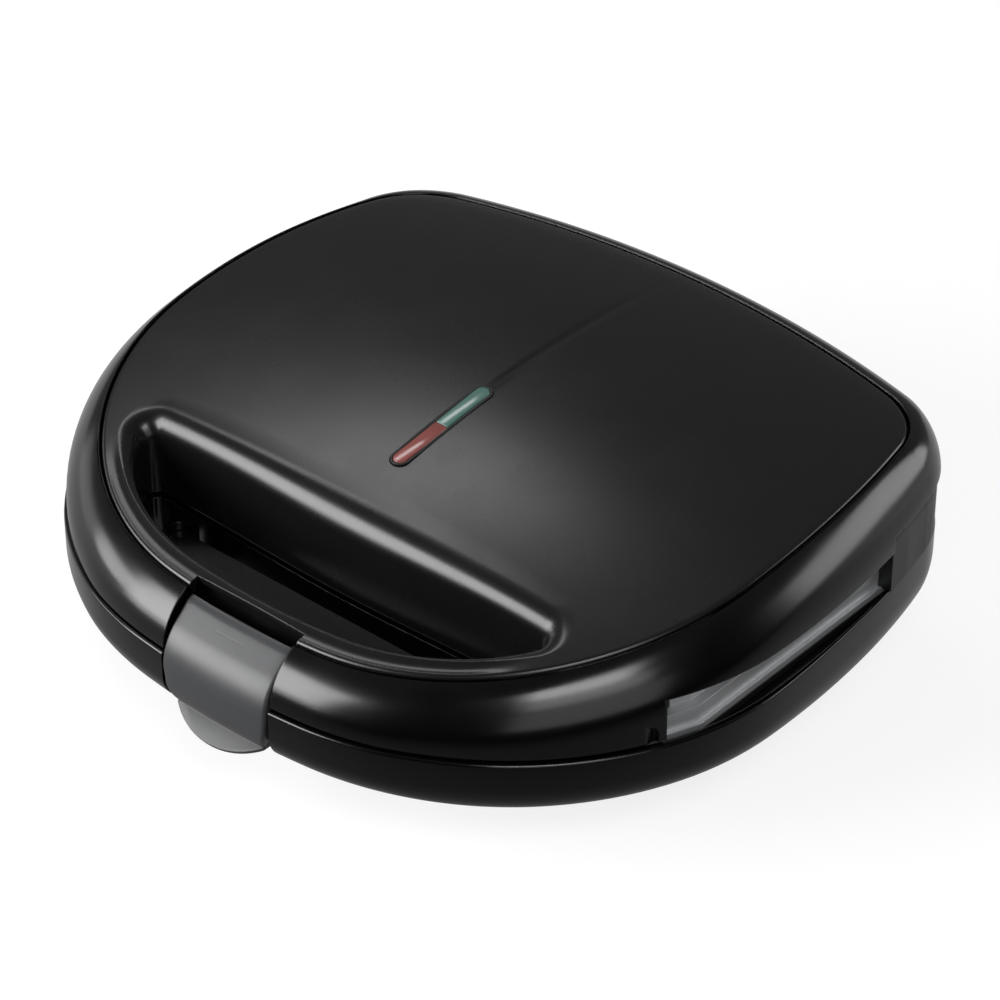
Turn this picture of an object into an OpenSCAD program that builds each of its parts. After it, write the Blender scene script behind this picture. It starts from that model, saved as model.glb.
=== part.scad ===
// Sandwich toaster: a clamshell cooker for two sandwiches, lying closed on its feet.
// Origin: middle of the footprint on the table. +X right, -Y the latch side, +Y the hinge side, +Z up.

/* [Body] */
// Width of the body at its widest
body_w = 230; // [222:1:242]
// Distance from the origin forward to the nose of the body
body_front = 102.5; // [99:0.5:106]
// Distance from the origin back to the rear edge of the body
body_back = 101.5; // [99:0.5:104]
// Where along the depth the body is widest
widest_y = 6; // [0:0.5:10]
// Plan radius of the front edge
front_r = 238; // [200:1:300]
// Plan radius of the side edges
side_r = 247; // [200:1:320]
// Plan radius of the rear edge
back_r = 365; // [300:1:600]
// Plan radius of the two front corners
front_corner_r = 98; // [90:1:105]
// Plan radius of the two rear corners
back_corner_r = 37; // [36:1:42]
// Height of the line where lid and base meet
parting_z = 41; // [39:0.5:46]
// Wall of the plastic mouldings
wall = 2.4; // [2:0.1:2.8]

/* [Lid] */
// Height of the crown above the line where lid and base meet
crown_h = 36.5; // [35:0.5:42]
// Where along the depth the crown is highest
crown_y = 30; // [20:1:40]
// Radius of the crown across the body
crown_rx = 980; // [800:10:1500]
// Radius of the crown along the body
crown_ry = 352; // [330:1:420]
// Distance from the body edge in to the cover seam, at the nose
seam_front = 11; // [10:0.5:13]
// Distance from the body edge in to the cover seam, at the sides
seam_side = 12.5; // [11:0.5:14]
// Distance from the body edge in to the cover seam, at the rear
seam_back = 11.3; // [10:0.5:13]
// Width of the groove between cover and ring
seam_gap = 0.8; // [0.4:0.1:1.2]
// Step from the base rim in to the skirt of the lid
lid_step = 0.8; // [0.4:0.1:1.2]
// Radius that turns the shoulder of the ring into its skirt
shoulder_r = 16; // [12:0.5:18]
// Tilt of the shoulder where it leaves the seam
shoulder_tilt = 48; // [44:1:52]
// How far the lid opens
lid_open = 100; // [80:1:102]

/* [Handle] */
// Distance from the body edge in to the crest of the finger opening
grip_inset = 16.7; // [16:0.1:18]
// Rear edge of the finger opening
grip_y = 45.5; // [44:0.5:48]
// Radius of the rear corners of the finger opening
grip_corner_r = 9; // [8:0.5:11]
// Rounding of the rim along the rear of the finger opening
grip_rim_r = 5.5; // [4:0.5:6]
// Rounding of the rim along the front of the finger opening
grip_lip_r = 2; // [1.5:0.1:2.5]
// Inner edge of the base grip, measured forward from the origin
bar_y = 59; // [57:0.5:62]
// Half length of the straight inner edge of the base grip
bar_half = 54; // [48:1:58]

/* [Side openings] */
// Forward end of the steam opening at each side
vent_front = 44.6; // [40:0.5:46]
// Rearward end of the steam opening at each side
vent_back = 43.5; // [38:0.5:46]
// Height of the steam opening above the parting line
vent_h = 12.7; // [10:0.5:14]
// Height of the base ears above the parting line
ear_h = 16.5; // [15:0.5:18]
// Diameter of the round hole ahead of each steam opening
port_d = 5.4; // [4:0.2:6]

/* [Plates] */
// Distance from the body edge in to the side of a grill plate
plate_side = 11; // [10:0.5:15]
// Distance from the wall behind the finger opening back to a grill plate
plate_front = 5; // [4.5:0.5:8]
// Plate left at both sides of each sandwich
pocket_side = 5; // [4.5:0.5:8]
// Plate left in front of and behind each sandwich
pocket_end = 8; // [5:0.5:9]
// Height of a grill plate
plate_h = 14; // [13:0.5:15]
// Depth of the sandwich pockets
pocket_depth = 10; // [8:0.5:11]
// Diameter of the heating tube
tube_d = 6.5; // [6:0.1:7]

/* [Latch] */
// Width of the latch
latch_w = 35; // [32:0.5:40]
// Thickness of the latch
latch_t = 3; // [2.4:0.1:3.4]
// Forward face of the latch, measured forward from the nose of the body
latch_proud = 0.6; // [0.4:0.1:1.2]
// Diameter of the latch pin
latch_pin_d = 3; // [2.6:0.1:3.2]
// How far the latch swings out
latch_swing = 28; // [20:1:30]
// Reach of the thumb lip
lip_reach = 4.75; // [3:0.25:5.5]

/* [Hinge] */
// Height of the hinge axis above the parting line
hinge_up = 15; // [14.5:0.5:17]
// Diameter of the hinge pin
hinge_pin_d = 4; // [3.5:0.1:4.4]
// Radius of the hinge knuckles
knuckle_r = 3.8; // [3.6:0.1:4.2]
// Half width of the middle knuckle
knuckle_mid = 10; // [8:0.5:14]
// Length of each lid knuckle
knuckle_lid = 11; // [9:0.5:18]
// Length of each outer base knuckle
knuckle_end = 8; // [6:0.5:12]

/* [Indicators] */
// Length of the indicator bar
lamp_l = 37; // [32:0.5:40]
// Width of the indicator bar
lamp_w = 4.2; // [3.6:0.1:5]
// Where the indicator bar is centred, measured forward from the origin
lamp_y = 13; // [10:0.5:16]

/* [Base] */
// Height of the rubber feet
foot_h = 6; // [5:0.5:7]
// Diameter of the rubber feet
foot_d = 15; // [12:0.5:16]
// Distance of the feet left and right of the middle
foot_x = 57; // [50:1:58]
// Distance of the front feet forward of the origin
foot_front = 35; // [28:1:38]
// Distance of the rear feet behind the origin
foot_back = 55; // [48:1:56]
// Distance from the body edge in to the flat of the base
base_inset = 33; // [31:0.5:34]
// Outer diameter of the cord gland
gland_d = 11; // [10:0.5:12]
// Bore of the cord gland
gland_bore = 7; // [6:0.1:7.5]

/* [Clearances] */
// Running clearance of a pin in its bore, in radius
pin_fit = 0.08; // [0.05:0.01:0.1]
// Clearance between parts that move past each other
run_gap = 0.4; // [0.3:0.05:0.6]
// Clearance between parts that are assembled together
seat_gap = 0.15; // [0.1:0.05:0.25]

/* [Hidden] */

$fn = 48;
eps = 0.01;

// Each plate fits the body, and each sandwich is square and fits its half of the plate
plate_w = body_w - 2 * plate_side;
bread = plate_w / 2 - 2 * pocket_side;
plate_d = bread + 2 * pocket_end;
bowl_y = grip_y + grip_rim_r;
plate_y = plate_d / 2 - bowl_y + plate_front;

// ---- Plan outline: tangent arcs, right half, from the nose to the middle of the rear ----

// Point where two circles meet, on the +X side
function meet(c1, r1, c2, r2) =
    let (v = c2 - c1, d = norm(v), a = (r1 * r1 - r2 * r2 + d * d) / (2 * d),
        h = sqrt(max(0, r1 * r1 - a * a)), m = c1 + v * a / d, n = [-v[1], v[0]] / d,
        p = m + h * n, q = m - h * n)
    p[0] > q[0] ? p : q;

function heading(c, p) = atan2(p[1] - c[1], p[0] - c[0]);

// Arcs [centre, radius, start angle, end angle] of an outline set in by f, s and b at nose, sides and rear
function arcs(f, s, b) =
    let (rf = front_r - f, rs = side_r - s, rb = back_r - b,
        rc = front_corner_r - (f + s) / 2, rd = back_corner_r - (s + b) / 2,
        cf = [0, front_r - body_front], cs = [body_w / 2 - side_r, widest_y], cb = [0, body_back - back_r],
        fc = meet(cf, rf - rc, cs, rs - rc), bc = meet(cb, rb - rd, cs, rs - rd))
    [
        [cf, rf, -90, heading(cf, fc)],
        [fc, rc, heading(cf, fc), heading(cs, fc)],
        [cs, rs, heading(cs, fc), heading(cs, bc)],
        [bc, rd, heading(cs, bc), heading(cb, bc)],
        [cb, rb, heading(cb, bc), 90]
    ];

function on_arc(a, r, t) = a[0] + r * [cos(t), sin(t)];

// Points along an arc, set in by extra, without its last point
function arc_points(a, n, extra = 0) =
    [for (i = [0:n - 1]) on_arc(a, a[1] - extra, a[2] + (a[3] - a[2]) * i / n)];

// Close a right half that runs from x = 0 to x = 0
function mirrored(half) =
    concat(half, [for (i = [len(half) - 2:-1:1]) [-half[i][0], half[i][1]]]);

steps = [3, 11, 6, 9, 6];

function outline_half(f, s, b) =
    let (a = arcs(f, s, b))
    concat([for (k = [0:4]) each arc_points(a[k], steps[k])], [on_arc(a[4], a[4][1], 90)]);

function outline(inset) = mirrored(outline_half(inset, inset, inset));

module plan(inset) {
    polygon(outline(inset));
}

// Wall that follows the outline between two insets
module rim(outer, inner, z0, z1) {
    translate([0, 0, z0])
        linear_extrude(z1 - z0)
            difference() {
                plan(outer);
                plan(inner);
            }
}

module box(x, y, z) {
    translate([x[0], y[0], z[0]])
        cube([x[1] - x[0], y[1] - y[0], z[1] - z[0]]);
}

module rounded_rect(w, d, r) {
    for (s = [-1, 1])
        for (t = [-1, 1])
            translate([s * (w / 2 - r), t * (d / 2 - r)])
                circle(r);
    square([w - 2 * r, d], center = true);
    square([w, d - 2 * r], center = true);
}

module x_rod(d, x0, x1, y, z) {
    translate([x0, y, z])
        rotate([0, 90, 0])
            cylinder(d = d, h = x1 - x0);
}

// ---- Skins: closed surfaces made of rings of points ----

// Faces between ring j and ring l, of n points each
function strip(n, j, l) =
    [for (i = [0:n - 1])
        let (k = (i + 1) % n)
        each [[j * n + i, l * n + k, j * n + k], [j * n + i, l * n + i, l * n + k]]];

// Close rings of equal length into a band whose last ring meets the first again
module band(rings) {
    n = len(rings[0]);
    m = len(rings);
    faces = [for (j = [0:m - 1]) each strip(n, j, (j + 1) % m)];
    polyhedron([for (ring = rings) each ring], faces, convexity = 10);
}

// Close rings of equal length, from a flat bottom ring to a flat last one
module vessel(rings) {
    n = len(rings[0]);
    m = len(rings);
    faces = concat(
        [[for (i = [0:n - 1]) i]],
        [for (j = [0:m - 2]) each strip(n, j, j + 1)],
        [[for (i = [n - 1:-1:0]) (m - 1) * n + i]]
    );
    polyhedron([for (ring = rings) each ring], faces, convexity = 10);
}

function crown_z(p) =
    parting_z + crown_h - p[0] * p[0] / (2 * crown_rx) - pow(p[1] - crown_y, 2) / (2 * crown_ry);

// ---- Finger opening ----

// Centre of the rear corner of the finger opening
grip_c =
    let (a = arcs(0, 0, 0)[1], r = a[1] - grip_inset - grip_corner_r, y = -grip_y - grip_corner_r)
    [a[0][0] + sqrt(r * r - pow(y - a[0][1], 2)), y];
grip_split = heading(arcs(0, 0, 0)[1][0], grip_c);

// Points along each stretch of a half: nose, front corner beside the opening, then the rest
nose_steps = 3;
lip_steps = 8;
rest_steps = [4, 5, 8, 5];
round_steps = 8;
line_steps = rest_steps[0] + rest_steps[1] + rest_steps[2] + rest_steps[3] - round_steps;

// Rounding of the rim at each point of a half: the lip radius in front, the rim radius behind
rim_half = concat(
    [for (i = [0:nose_steps - 1]) grip_lip_r],
    [for (i = [0:lip_steps - 1]) grip_lip_r + (grip_rim_r - grip_lip_r) * pow(i / lip_steps, 4)],
    [for (i = [0:round_steps + line_steps]) grip_rim_r]
);

// Right half of the finger opening, set in from its crest by k times the rounding, plus off
function grip_half(k, off) =
    let (a = arcs(0, 0, 0), nose = a[0], side = a[1], last = k * grip_rim_r + off)
    concat(
        [for (i = [0:nose_steps - 1])
            on_arc(nose, nose[1] - grip_inset - k * rim_half[i] - off,
                nose[2] + (nose[3] - nose[2]) * i / nose_steps)],
        [for (i = [0:lip_steps - 1])
            on_arc(side, side[1] - grip_inset - k * rim_half[nose_steps + i] - off,
                side[2] + (grip_split - side[2]) * i / lip_steps)],
        [for (i = [0:round_steps - 1])
            on_arc([grip_c], grip_corner_r - last, grip_split + (90 - grip_split) * i / round_steps)],
        [for (i = [0:line_steps])
            [grip_c[0] * (1 - i / line_steps), -grip_y - last]]
    );

// Opening inside its rounded rim, made larger by off
module grip_plan(off) {
    polygon(mirrored(grip_half(1, -off)));
}

// Right half of an outline set in by f, s and b, with as many points as the finger opening
function matched_half(f, s, b) =
    let (a = arcs(f, s, b), c = a[1])
    concat(
        arc_points(a[0], nose_steps),
        arc_points([c[0], c[1], c[2], grip_split], lip_steps),
        arc_points([c[0], c[1], grip_split, c[3]], rest_steps[0]),
        arc_points(a[2], rest_steps[1]),
        arc_points(a[3], rest_steps[2]),
        arc_points(a[4], rest_steps[3]),
        [on_arc(a[4], a[4][1], 90)]
    );

function seam(extra) = mirrored(matched_half(seam_front + extra, seam_side + extra, seam_back + extra));

function lift(points, drop) = [for (p = points) [p[0], p[1], crown_z(p) - drop]];
function level(points, z) = [for (p = points) [p[0], p[1], z]];
function blend(a, b, t) = [for (i = [0:len(a) - 1]) a[i] * (1 - t) + b[i] * t];

// ---- Lid: cover ----

cover_rings = 8;
rim_rings = 5;
cover_skirt = 4;
cover_edge = 0.5;
grip_floor = parting_z + 0.8;
crest = mirrored(grip_half(0, 0));
rim_r = mirrored([for (r = rim_half) [r, 0]]);

// Rim of the finger opening at angle t of its rounding
function rim_ring(t) =
    let (p = mirrored(grip_half(sin(t), 0)))
    [for (i = [0:len(p) - 1])
        [p[i][0], p[i][1], crown_z(crest[i]) - abs(rim_r[i][0]) * (1 - cos(t))]];

function cover_skin() =
    let (g = seam_gap / 2, edge = seam(g + cover_edge), inner = seam(g + wall),
        throat = mirrored(grip_half(1, 0)), hidden = mirrored(grip_half(1, -wall)))
    concat(
        [lift(seam(g), cover_skirt), lift(seam(g), cover_edge), lift(edge, 0)],
        [for (j = [1:cover_rings]) lift(blend(edge, crest, j / cover_rings), 0)],
        [for (j = [1:rim_rings]) rim_ring(90 * j / rim_rings)],
        [level(throat, grip_floor), level(hidden, grip_floor), lift(hidden, wall)],
        [for (j = [1:3]) lift(blend(hidden, inner, j / 3), wall)],
        [lift(inner, cover_skirt)]
    );

crease_w = 0.9;
crease_depth = 0.3;
crease_start = 8;
crease_end = 80;

// Moulded crease along the middle of the cover, behind the indicator bar
module crease() {
    along_x(-crease_w / 2, crease_w / 2)
        polygon(concat(
            [for (y = [crease_start:9:crease_end]) [y, crown_z([0, y]) - crease_depth]],
            [[crease_end, parting_z + crown_h + 1], [crease_start, parting_z + crown_h + 1]]
        ));
}

module top_cover() {
    color("#26282a")
        difference() {
            band(cover_skin());
            lamp_slot(lamp_w + 2 * lamp_frame + 2 * seat_gap);
            crease();
            notch();
        }
}

// ---- Lid: ring ----

skirt_z = parting_z + 0.4;
flange_drop = cover_skirt + seat_gap;
flange_t = 2;
flange_w = 3;
shoulder_in = lid_step + shoulder_r * (1 - cos(shoulder_tilt));
arc_rings = 5;

plan_0 = mirrored(matched_half(0, 0, 0));
plan_1 = mirrored(matched_half(1, 1, 1));

// Ring of the shoulder, cut back to depth r of its radius, at share t of its turn to the skirt
function shoulder_ring(r, t) =
    let (edge = seam(-seam_gap / 2))
    [for (i = [0:len(plan_0) - 1])
        let (inward = plan_1[i] - plan_0[i], start = plan_0[i] + inward * shoulder_in,
            z1 = crown_z(edge[i]) - norm(edge[i] - start) * tan(90 - shoulder_tilt),
            zc = z1 - shoulder_r * sin(shoulder_tilt),
            low = asin(max(0, (skirt_z + 0.5 - zc) / r)),
            turn = shoulder_tilt + (low - shoulder_tilt) * t,
            p = plan_0[i] + inward * (lid_step + shoulder_r - r * cos(turn)))
        [p[0], p[1], zc + r * sin(turn)]];

// Room that the shoulder of the ring takes up inside the lid, with its clearance
module shoulder_room() {
    band(concat(
        [for (j = [3:-1:0]) shoulder_ring(shoulder_r + 1, j / 3)],
        [for (j = [0:3]) shoulder_ring(shoulder_r - wall - seat_gap, j / 3)]
    ));
}

function ring_skin() =
    let (g = seam_gap / 2, outer = shoulder_ring(shoulder_r, 1), inner = shoulder_ring(shoulder_r - wall, 1))
    concat(
        [lift(seam(-g), flange_drop), lift(seam(-g), 0.4), lift(seam(-g - 0.4), 0.1)],
        [for (j = [0:arc_rings]) shoulder_ring(shoulder_r, j / arc_rings)],
        [level(outer, skirt_z), level(inner, skirt_z)],
        [for (j = [3:-1:0]) shoulder_ring(shoulder_r - wall, j / 3)],
        [lift(seam(flange_w), flange_drop + flange_t), lift(seam(flange_w), flange_drop)]
    );

notch_gap = 1.5;
notch_half = latch_w / 2 + notch_gap;
notch_back = 4.4;

// Room for the latch in the nose of the lid
module notch() {
    box([-notch_half, notch_half],
        [-body_front - 5, -body_front + seam_front + notch_back],
        [parting_z - 5, parting_z + crown_h]);
}

// Steam opening on both sides, from the skirt up to height h
module side_openings(h) {
    for (side = [0, 1])
        mirror([side, 0, 0])
            box([body_w / 2 - 20, body_w / 2 + 5], [-vent_front, vent_back + eps],
                [parting_z - 5, parting_z + h]);
}

port_gap = 4.6;

// Round hole through the skirt ahead of each steam opening, open at its lower edge
module side_ports() {
    y = -vent_front - port_gap;
    for (side = [0, 1])
        mirror([side, 0, 0])
            translate([body_w / 2 - 20, y, skirt_z + port_d / 2]) {
                rotate([0, 90, 0])
                    cylinder(d = port_d, h = 25);
                translate([0, -port_d / 4, -port_d])
                    cube([25, port_d / 2, port_d]);
            }
}

// The rear of the skirt ends above the ears of the base
module rear_relief() {
    box([-body_w, body_w], [vent_back, body_back + 10], [parting_z - 5, parting_z + ear_h + 2 * run_gap]);
}

module upper_ring() {
    color("#1d1e20")
        difference() {
            union() {
                difference() {
                    band(reversed(ring_skin()));
                    notch();
                    side_openings(vent_h);
                    side_ports();
                    rear_relief();
                    knuckle_room(base_knuckles);
                }
                knuckles(lid_knuckles, 1);
                latch_ears();
            }
            hinge_bore(hinge_pin_d + 2 * pin_fit);
            latch_bore(latch_pin_d + 2 * pin_fit);
        }
}

// ---- Hinge ----

hinge_y = body_back + 0.5;
hinge_z = parting_z + hinge_up;
web_up = 5;
web_down = 8;
knuckle_gap = run_gap;
lid_in = knuckle_mid + knuckle_gap;
lid_out = lid_in + knuckle_lid;
end_in = lid_out + knuckle_gap;
end_out = end_in + knuckle_end;
base_knuckles = [[-end_out, -end_in], [-knuckle_mid, knuckle_mid], [end_in, end_out]];
lid_knuckles = [[-lid_out, -lid_in], [lid_in, lid_out]];

// Knuckles with a web that runs forward and up (1) or down (-1) into the body
module knuckles(spans, way) {
    for (s = spans) {
        x_rod(2 * knuckle_r, s[0], s[1], hinge_y, hinge_z);
        box(s, [hinge_y - knuckle_r, hinge_y], way > 0 ? [hinge_z, hinge_z + web_up] : [hinge_z - web_down, hinge_z]);
    }
}

// Room for the knuckles of the other half
module knuckle_room(spans) {
    for (s = spans)
        x_rod(2 * (knuckle_r + run_gap), s[0] - knuckle_gap, s[1] + knuckle_gap, hinge_y, hinge_z);
}

module hinge_bore(d) {
    x_rod(d, -end_out - 1, end_out + 1, hinge_y, hinge_z);
}

module hinge_pin() {
    color("silver")
        x_rod(hinge_pin_d, -end_out, end_out, hinge_y, hinge_z);
}

// ---- Latch ----

latch_face = -body_front - latch_proud;
latch_in = 10;
latch_up = 6;
latch_turn = 4;
latch_drop = 16;
latch_y = -body_front + latch_in;
latch_z = parting_z + latch_up;
latch_top_y = -body_front + seam_front + 0.6;
latch_turn_z = parting_z - latch_turn;
latch_low_z = parting_z - latch_drop;
latch_boss_r = latch_pin_d / 2 + 1.5;
hook_t = 2.4;
hook_reach = 8;
catch_gap = 1.5;
spring_w = 10;
spring_wire = 0.7;
spring_r = latch_pin_d / 2 + 0.2 + spring_wire;

// Curve of the latch shell at radius r: upright, round the shoulder and straight to the top
function latch_curve(r) =
    let (y0 = latch_face + shoulder_r - r, c = [latch_face + shoulder_r, latch_turn_z],
        end = [c[0] - r * cos(shoulder_tilt), c[1] + r * sin(shoulder_tilt)],
        top = latch_top_y - end[0])
    concat(
        [[y0, latch_low_z]],
        [for (t = [0:8:shoulder_tilt - 1]) [c[0] - r * cos(t), c[1] + r * sin(t)]],
        [end, [latch_top_y, end[1] + top * tan(90 - shoulder_tilt)]]
    );

function reversed(list) = [for (i = [len(list) - 1:-1:0]) list[i]];

module along_x(x0, x1) {
    translate([x0, 0, 0])
        rotate([90, 0, 90])
            linear_extrude(x1 - x0)
                children();
}

lip_thick = 1.6;
lip_root = 2;
lip_flare = 45;

// Half-moon thumb lip that flares out from the foot of the latch
module thumb_lip() {
    chord = latch_w - 3;
    r = (chord * chord / 4 + lip_reach * lip_reach) / (2 * lip_reach);
    translate([0, latch_face + lip_root, latch_low_z + 0.6])
        rotate([lip_flare, 0, 0])
            translate([0, r - lip_reach, 0])
                linear_extrude(lip_thick)
                    intersection() {
                        circle(r, $fn = 120);
                        translate([-latch_w, -r])
                            square([2 * latch_w, lip_reach + 1]);
                    }
}

module latch() {
    half = latch_w / 2;
    color("#3a3c3f")
        difference() {
            union() {
                along_x(-half, half)
                    polygon(concat(latch_curve(shoulder_r), reversed(latch_curve(shoulder_r - latch_t))));
                box([-half, half], [latch_face, latch_face + hook_reach], [latch_low_z, latch_low_z + hook_t]);
                x_rod(2 * latch_boss_r, -half, half, latch_y, latch_z);
                thumb_lip();
            }
            x_rod(latch_pin_d + 2 * pin_fit, -half - 1, half + 1, latch_y, latch_z);
            box([-spring_w / 2, spring_w / 2], [latch_y - spring_r - run_gap, latch_y + latch_boss_r + 1],
                [latch_z - latch_boss_r - 1, latch_z + latch_boss_r + 1]);
        }
}

ear_t = 3.5;
ear_front = 4.5;
ear_back = 3;
ear_low = 3.5;
ear_top = 1.8;
ear_foot = 3;

// Lugs of the ring that carry the latch pin, each with a foot that reaches the skirt
module latch_ears() {
    low = latch_z - ear_low;
    for (s = [-1, 1])
        translate([s * (notch_half + ear_t / 2) - ear_t / 2, 0, 0]) {
            box([0, ear_t], [latch_y - ear_front, latch_y + ear_back], [low, latch_z + ear_top]);
            box([0, ear_t], [-body_front + lid_step + wall, latch_y], [low, low + ear_foot]);
        }
}

module latch_bore(d) {
    x_rod(d, -notch_half - ear_t - 1, notch_half + ear_t + 1, latch_y, latch_z);
}

module latch_pin() {
    color("silver")
        x_rod(latch_pin_d, -notch_half - ear_t, notch_half + ear_t, latch_y, latch_z);
}

// Close-wound torsion spring round the latch pin
module latch_spring() {
    color("silver")
        translate([-spring_w / 2 + 0.4, latch_y, latch_z])
            rotate([0, 90, 0])
                difference() {
                    cylinder(r = spring_r, h = spring_w - 0.8);
                    translate([0, 0, -1])
                        cylinder(r = spring_r - spring_wire, h = spring_w + 2);
                }
}

// ---- Indicators ----

lamp_frame = 0.8;
lamp_depth = 7;
lens_t = 3;
lamp_tilt = atan((crown_y + lamp_y) / crown_ry);

// Stand children on the crown at the middle of the indicator bar
module at_lamp() {
    translate([0, -lamp_y, crown_z([0, -lamp_y])])
        rotate([lamp_tilt, 0, 0])
            children();
}

module capsule(l, w) {
    for (s = [-1, 1])
        translate([0, s * (l - w) / 2])
            circle(w / 2);
    square([w, l - w], center = true);
}

module lamp_slot(w) {
    at_lamp()
        translate([0, 0, -lamp_depth])
            linear_extrude(lamp_depth + 5)
                capsule(lamp_l + w - lamp_w, w);
}

// One half of the bar: the rear half (1) or the front half (-1)
module lens(half) {
    at_lamp()
        translate([0, 0, -lens_t])
            linear_extrude(lens_t + 0.3)
                intersection() {
                    capsule(lamp_l, lamp_w);
                    translate([-lamp_w, half > 0 ? 0.05 : -lamp_l])
                        square([2 * lamp_w, lamp_l - 0.05]);
                }
}

module lens_red() {
    color("#8c2f2c")
        lens(-1);
}

module lens_green() {
    color("#3f6f66")
        lens(1);
}

// Black frame that holds both lenses and the lamps under them
module lens_holder() {
    outer = lamp_w + 2 * lamp_frame;
    color("#101112")
        at_lamp()
            difference() {
                union() {
                    translate([0, 0, -lamp_depth])
                        linear_extrude(lamp_depth)
                            capsule(lamp_l + 2 * lamp_frame, outer);
                    translate([0, 0, -lamp_depth - 1])
                        linear_extrude(lamp_depth - wall - 0.4)
                            capsule(lamp_l + 6, outer + 4);
                }
                translate([0, 0, -lamp_depth - 2])
                    linear_extrude(lamp_depth + 4)
                        capsule(lamp_l + 2 * seat_gap, lamp_w + 2 * seat_gap);
            }
}

// Two neon lamps lying end to end under the lenses
module lamps() {
    d = lamp_w - 0.2;
    color("orange")
        at_lamp()
            for (s = [-1, 1])
                translate([0, s * lamp_l / 4, -lens_t - d / 2 - 0.2])
                    rotate([90, 0, 0])
                        cylinder(d = d, h = 13, center = true);
}

// ---- Lid: inner frame ----

plate_gap = 0.3;
mate_z = parting_z - 2.5;
lip_t = 2;
lip_w = 1.2;
plate_edge = 7;
plate_step = 3;
plate_inset = 6;
plate_r = 8;
frame_z = mate_z + lip_t + seat_gap;
frame_in = 3.6;
vent_web = 2;

// Outline of a grill plate made larger by off: a rectangle whose corners follow the body
module plate_plan(off) {
    intersection() {
        translate([0, plate_y])
            rounded_rect(plate_w + 2 * off, plate_d + 2 * off, plate_r + off);
        plan(plate_inset - off);
    }
}

// Stretch of both sides that the steam openings lie in, from x outward
module beside_plate(x, front, back) {
    for (s = [0, 1])
        mirror([s, 0])
            translate([x, -front])
                square([body_w / 2 - x + 5, front + back]);
}

module upper_frame() {
    web_z = parting_z + vent_h;
    roof_x = plate_w / 2 - 8;
    end_t = 3.4;
    color("#17181a")
        difference() {
            union() {
                translate([0, 0, frame_z])
                    linear_extrude(wall)
                        difference() {
                            plan(frame_in);
                            plate_plan(plate_gap);
                            beside_plate(roof_x, vent_front, vent_back);
                            grip_plan(wall + seat_gap);
                        }
                // End walls of the steam openings
                translate([0, 0, frame_z])
                    linear_extrude(web_z - frame_z + vent_web)
                        difference() {
                            intersection() {
                                plan(frame_in);
                                beside_plate(roof_x, vent_front + end_t, vent_back + end_t);
                            }
                            beside_plate(roof_x - 1, vent_front, vent_back);
                            plate_plan(plate_gap);
                        }
                // Roof of the steam openings
                translate([0, 0, web_z])
                    linear_extrude(vent_web)
                        intersection() {
                            plan(frame_in);
                            beside_plate(roof_x, vent_front + end_t, vent_back + end_t);
                        }
                // Rear wall, inside the ears of the base
                intersection() {
                    rim(frame_in, frame_in + wall, frame_z, parting_z + ear_h + 3);
                    box([-body_w, body_w], [vent_back, body_back], [0, 2 * parting_z]);
                }
            }
            translate([0, 0, frame_z - 1])
                linear_extrude(plate_h)
                    plate_plan(plate_gap);
            shoulder_room();
            notch();
        }
}

// ---- Grill plates ----

corner_r = 7;
tip_r = 3;
pocket_gap = 4;
tube_in = 24;
tube_end = 17;
tube_r = 16;
tube_split = 9;
post_x = plate_w / 2 - tube_in - 12;
post_y = 14;
post_d = 8;
screw_d = 4;
reflector_h = 8;
reflector_in = 18;
reflector_end = 10;
reflector_r = 10;
sheet = 0.8;
head_d = 7;
head_h = 2.2;
lower_gap = 0.3;

// Angle of the line that touches two circles [x, y, r] on the right of the way from a to b
function touch(a, b) =
    atan2(b[1] - a[1], b[0] - a[0]) - acos((a[2] - b[2]) / norm([b[0] - a[0], b[1] - a[1]]));

// Outline stretched round circles [x, y, r], counter-clockwise
function belt_round(c, n) =
    let (m = len(c))
    [for (i = [0:m - 1])
        let (t0 = touch(c[(i + m - 1) % m], c[i]), t1 = touch(c[i], c[(i + 1) % m]),
            turn = ((t1 - t0) % 360 + 360) % 360)
        for (j = [0:n]) on_arc([[c[i][0], c[i][1]]], c[i][2], t0 + turn * j / n)];

// Half of a square sandwich, cut along its diagonal and set in by m
module triangle(m) {
    s = bread / 2 - m;
    cut = (pocket_gap / 2 + tip_r + 0.7 * m) * sqrt(2);
    polygon(belt_round([
        [-s + corner_r, s - corner_r, corner_r],
        [-s + tip_r, -s + tip_r + cut, tip_r],
        [s - tip_r - cut, s - tip_r, tip_r]
    ], 6));
}

// Pocket for one sandwich: two triangles that narrow toward the plate
module pocket() {
    taper = 5;
    for (turn = [0, 180])
        rotate([0, 0, turn])
            hull() {
                translate([0, 0, -1])
                    linear_extrude(1)
                        triangle(0);
                translate([0, 0, pocket_depth - 1])
                    linear_extrude(1)
                        triangle(taper);
            }
}

// Grill plate with its pockets open downward
module plate() {
    difference() {
        union() {
            translate([0, -plate_y, 0]) {
                linear_extrude(lip_t)
                    plate_plan(lip_w);
                linear_extrude(plate_edge)
                    plate_plan(0);
                linear_extrude(plate_h)
                    plate_plan(-plate_step);
            }
            posts(plate_h, reflector_h - seat_gap, post_d);
        }
        for (s = [0, 1])
            mirror([s, 0, 0])
                translate([plate_w / 4, 0])
                    pocket();
        posts(plate_h, reflector_h + 1, screw_d + 2 * pin_fit);
    }
}

module posts(z, h, d) {
    for (s = [-1, 1])
        for (t = [-1, 1])
            translate([s * post_x, t * post_y, z])
                cylinder(d = d, h = h);
}

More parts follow.
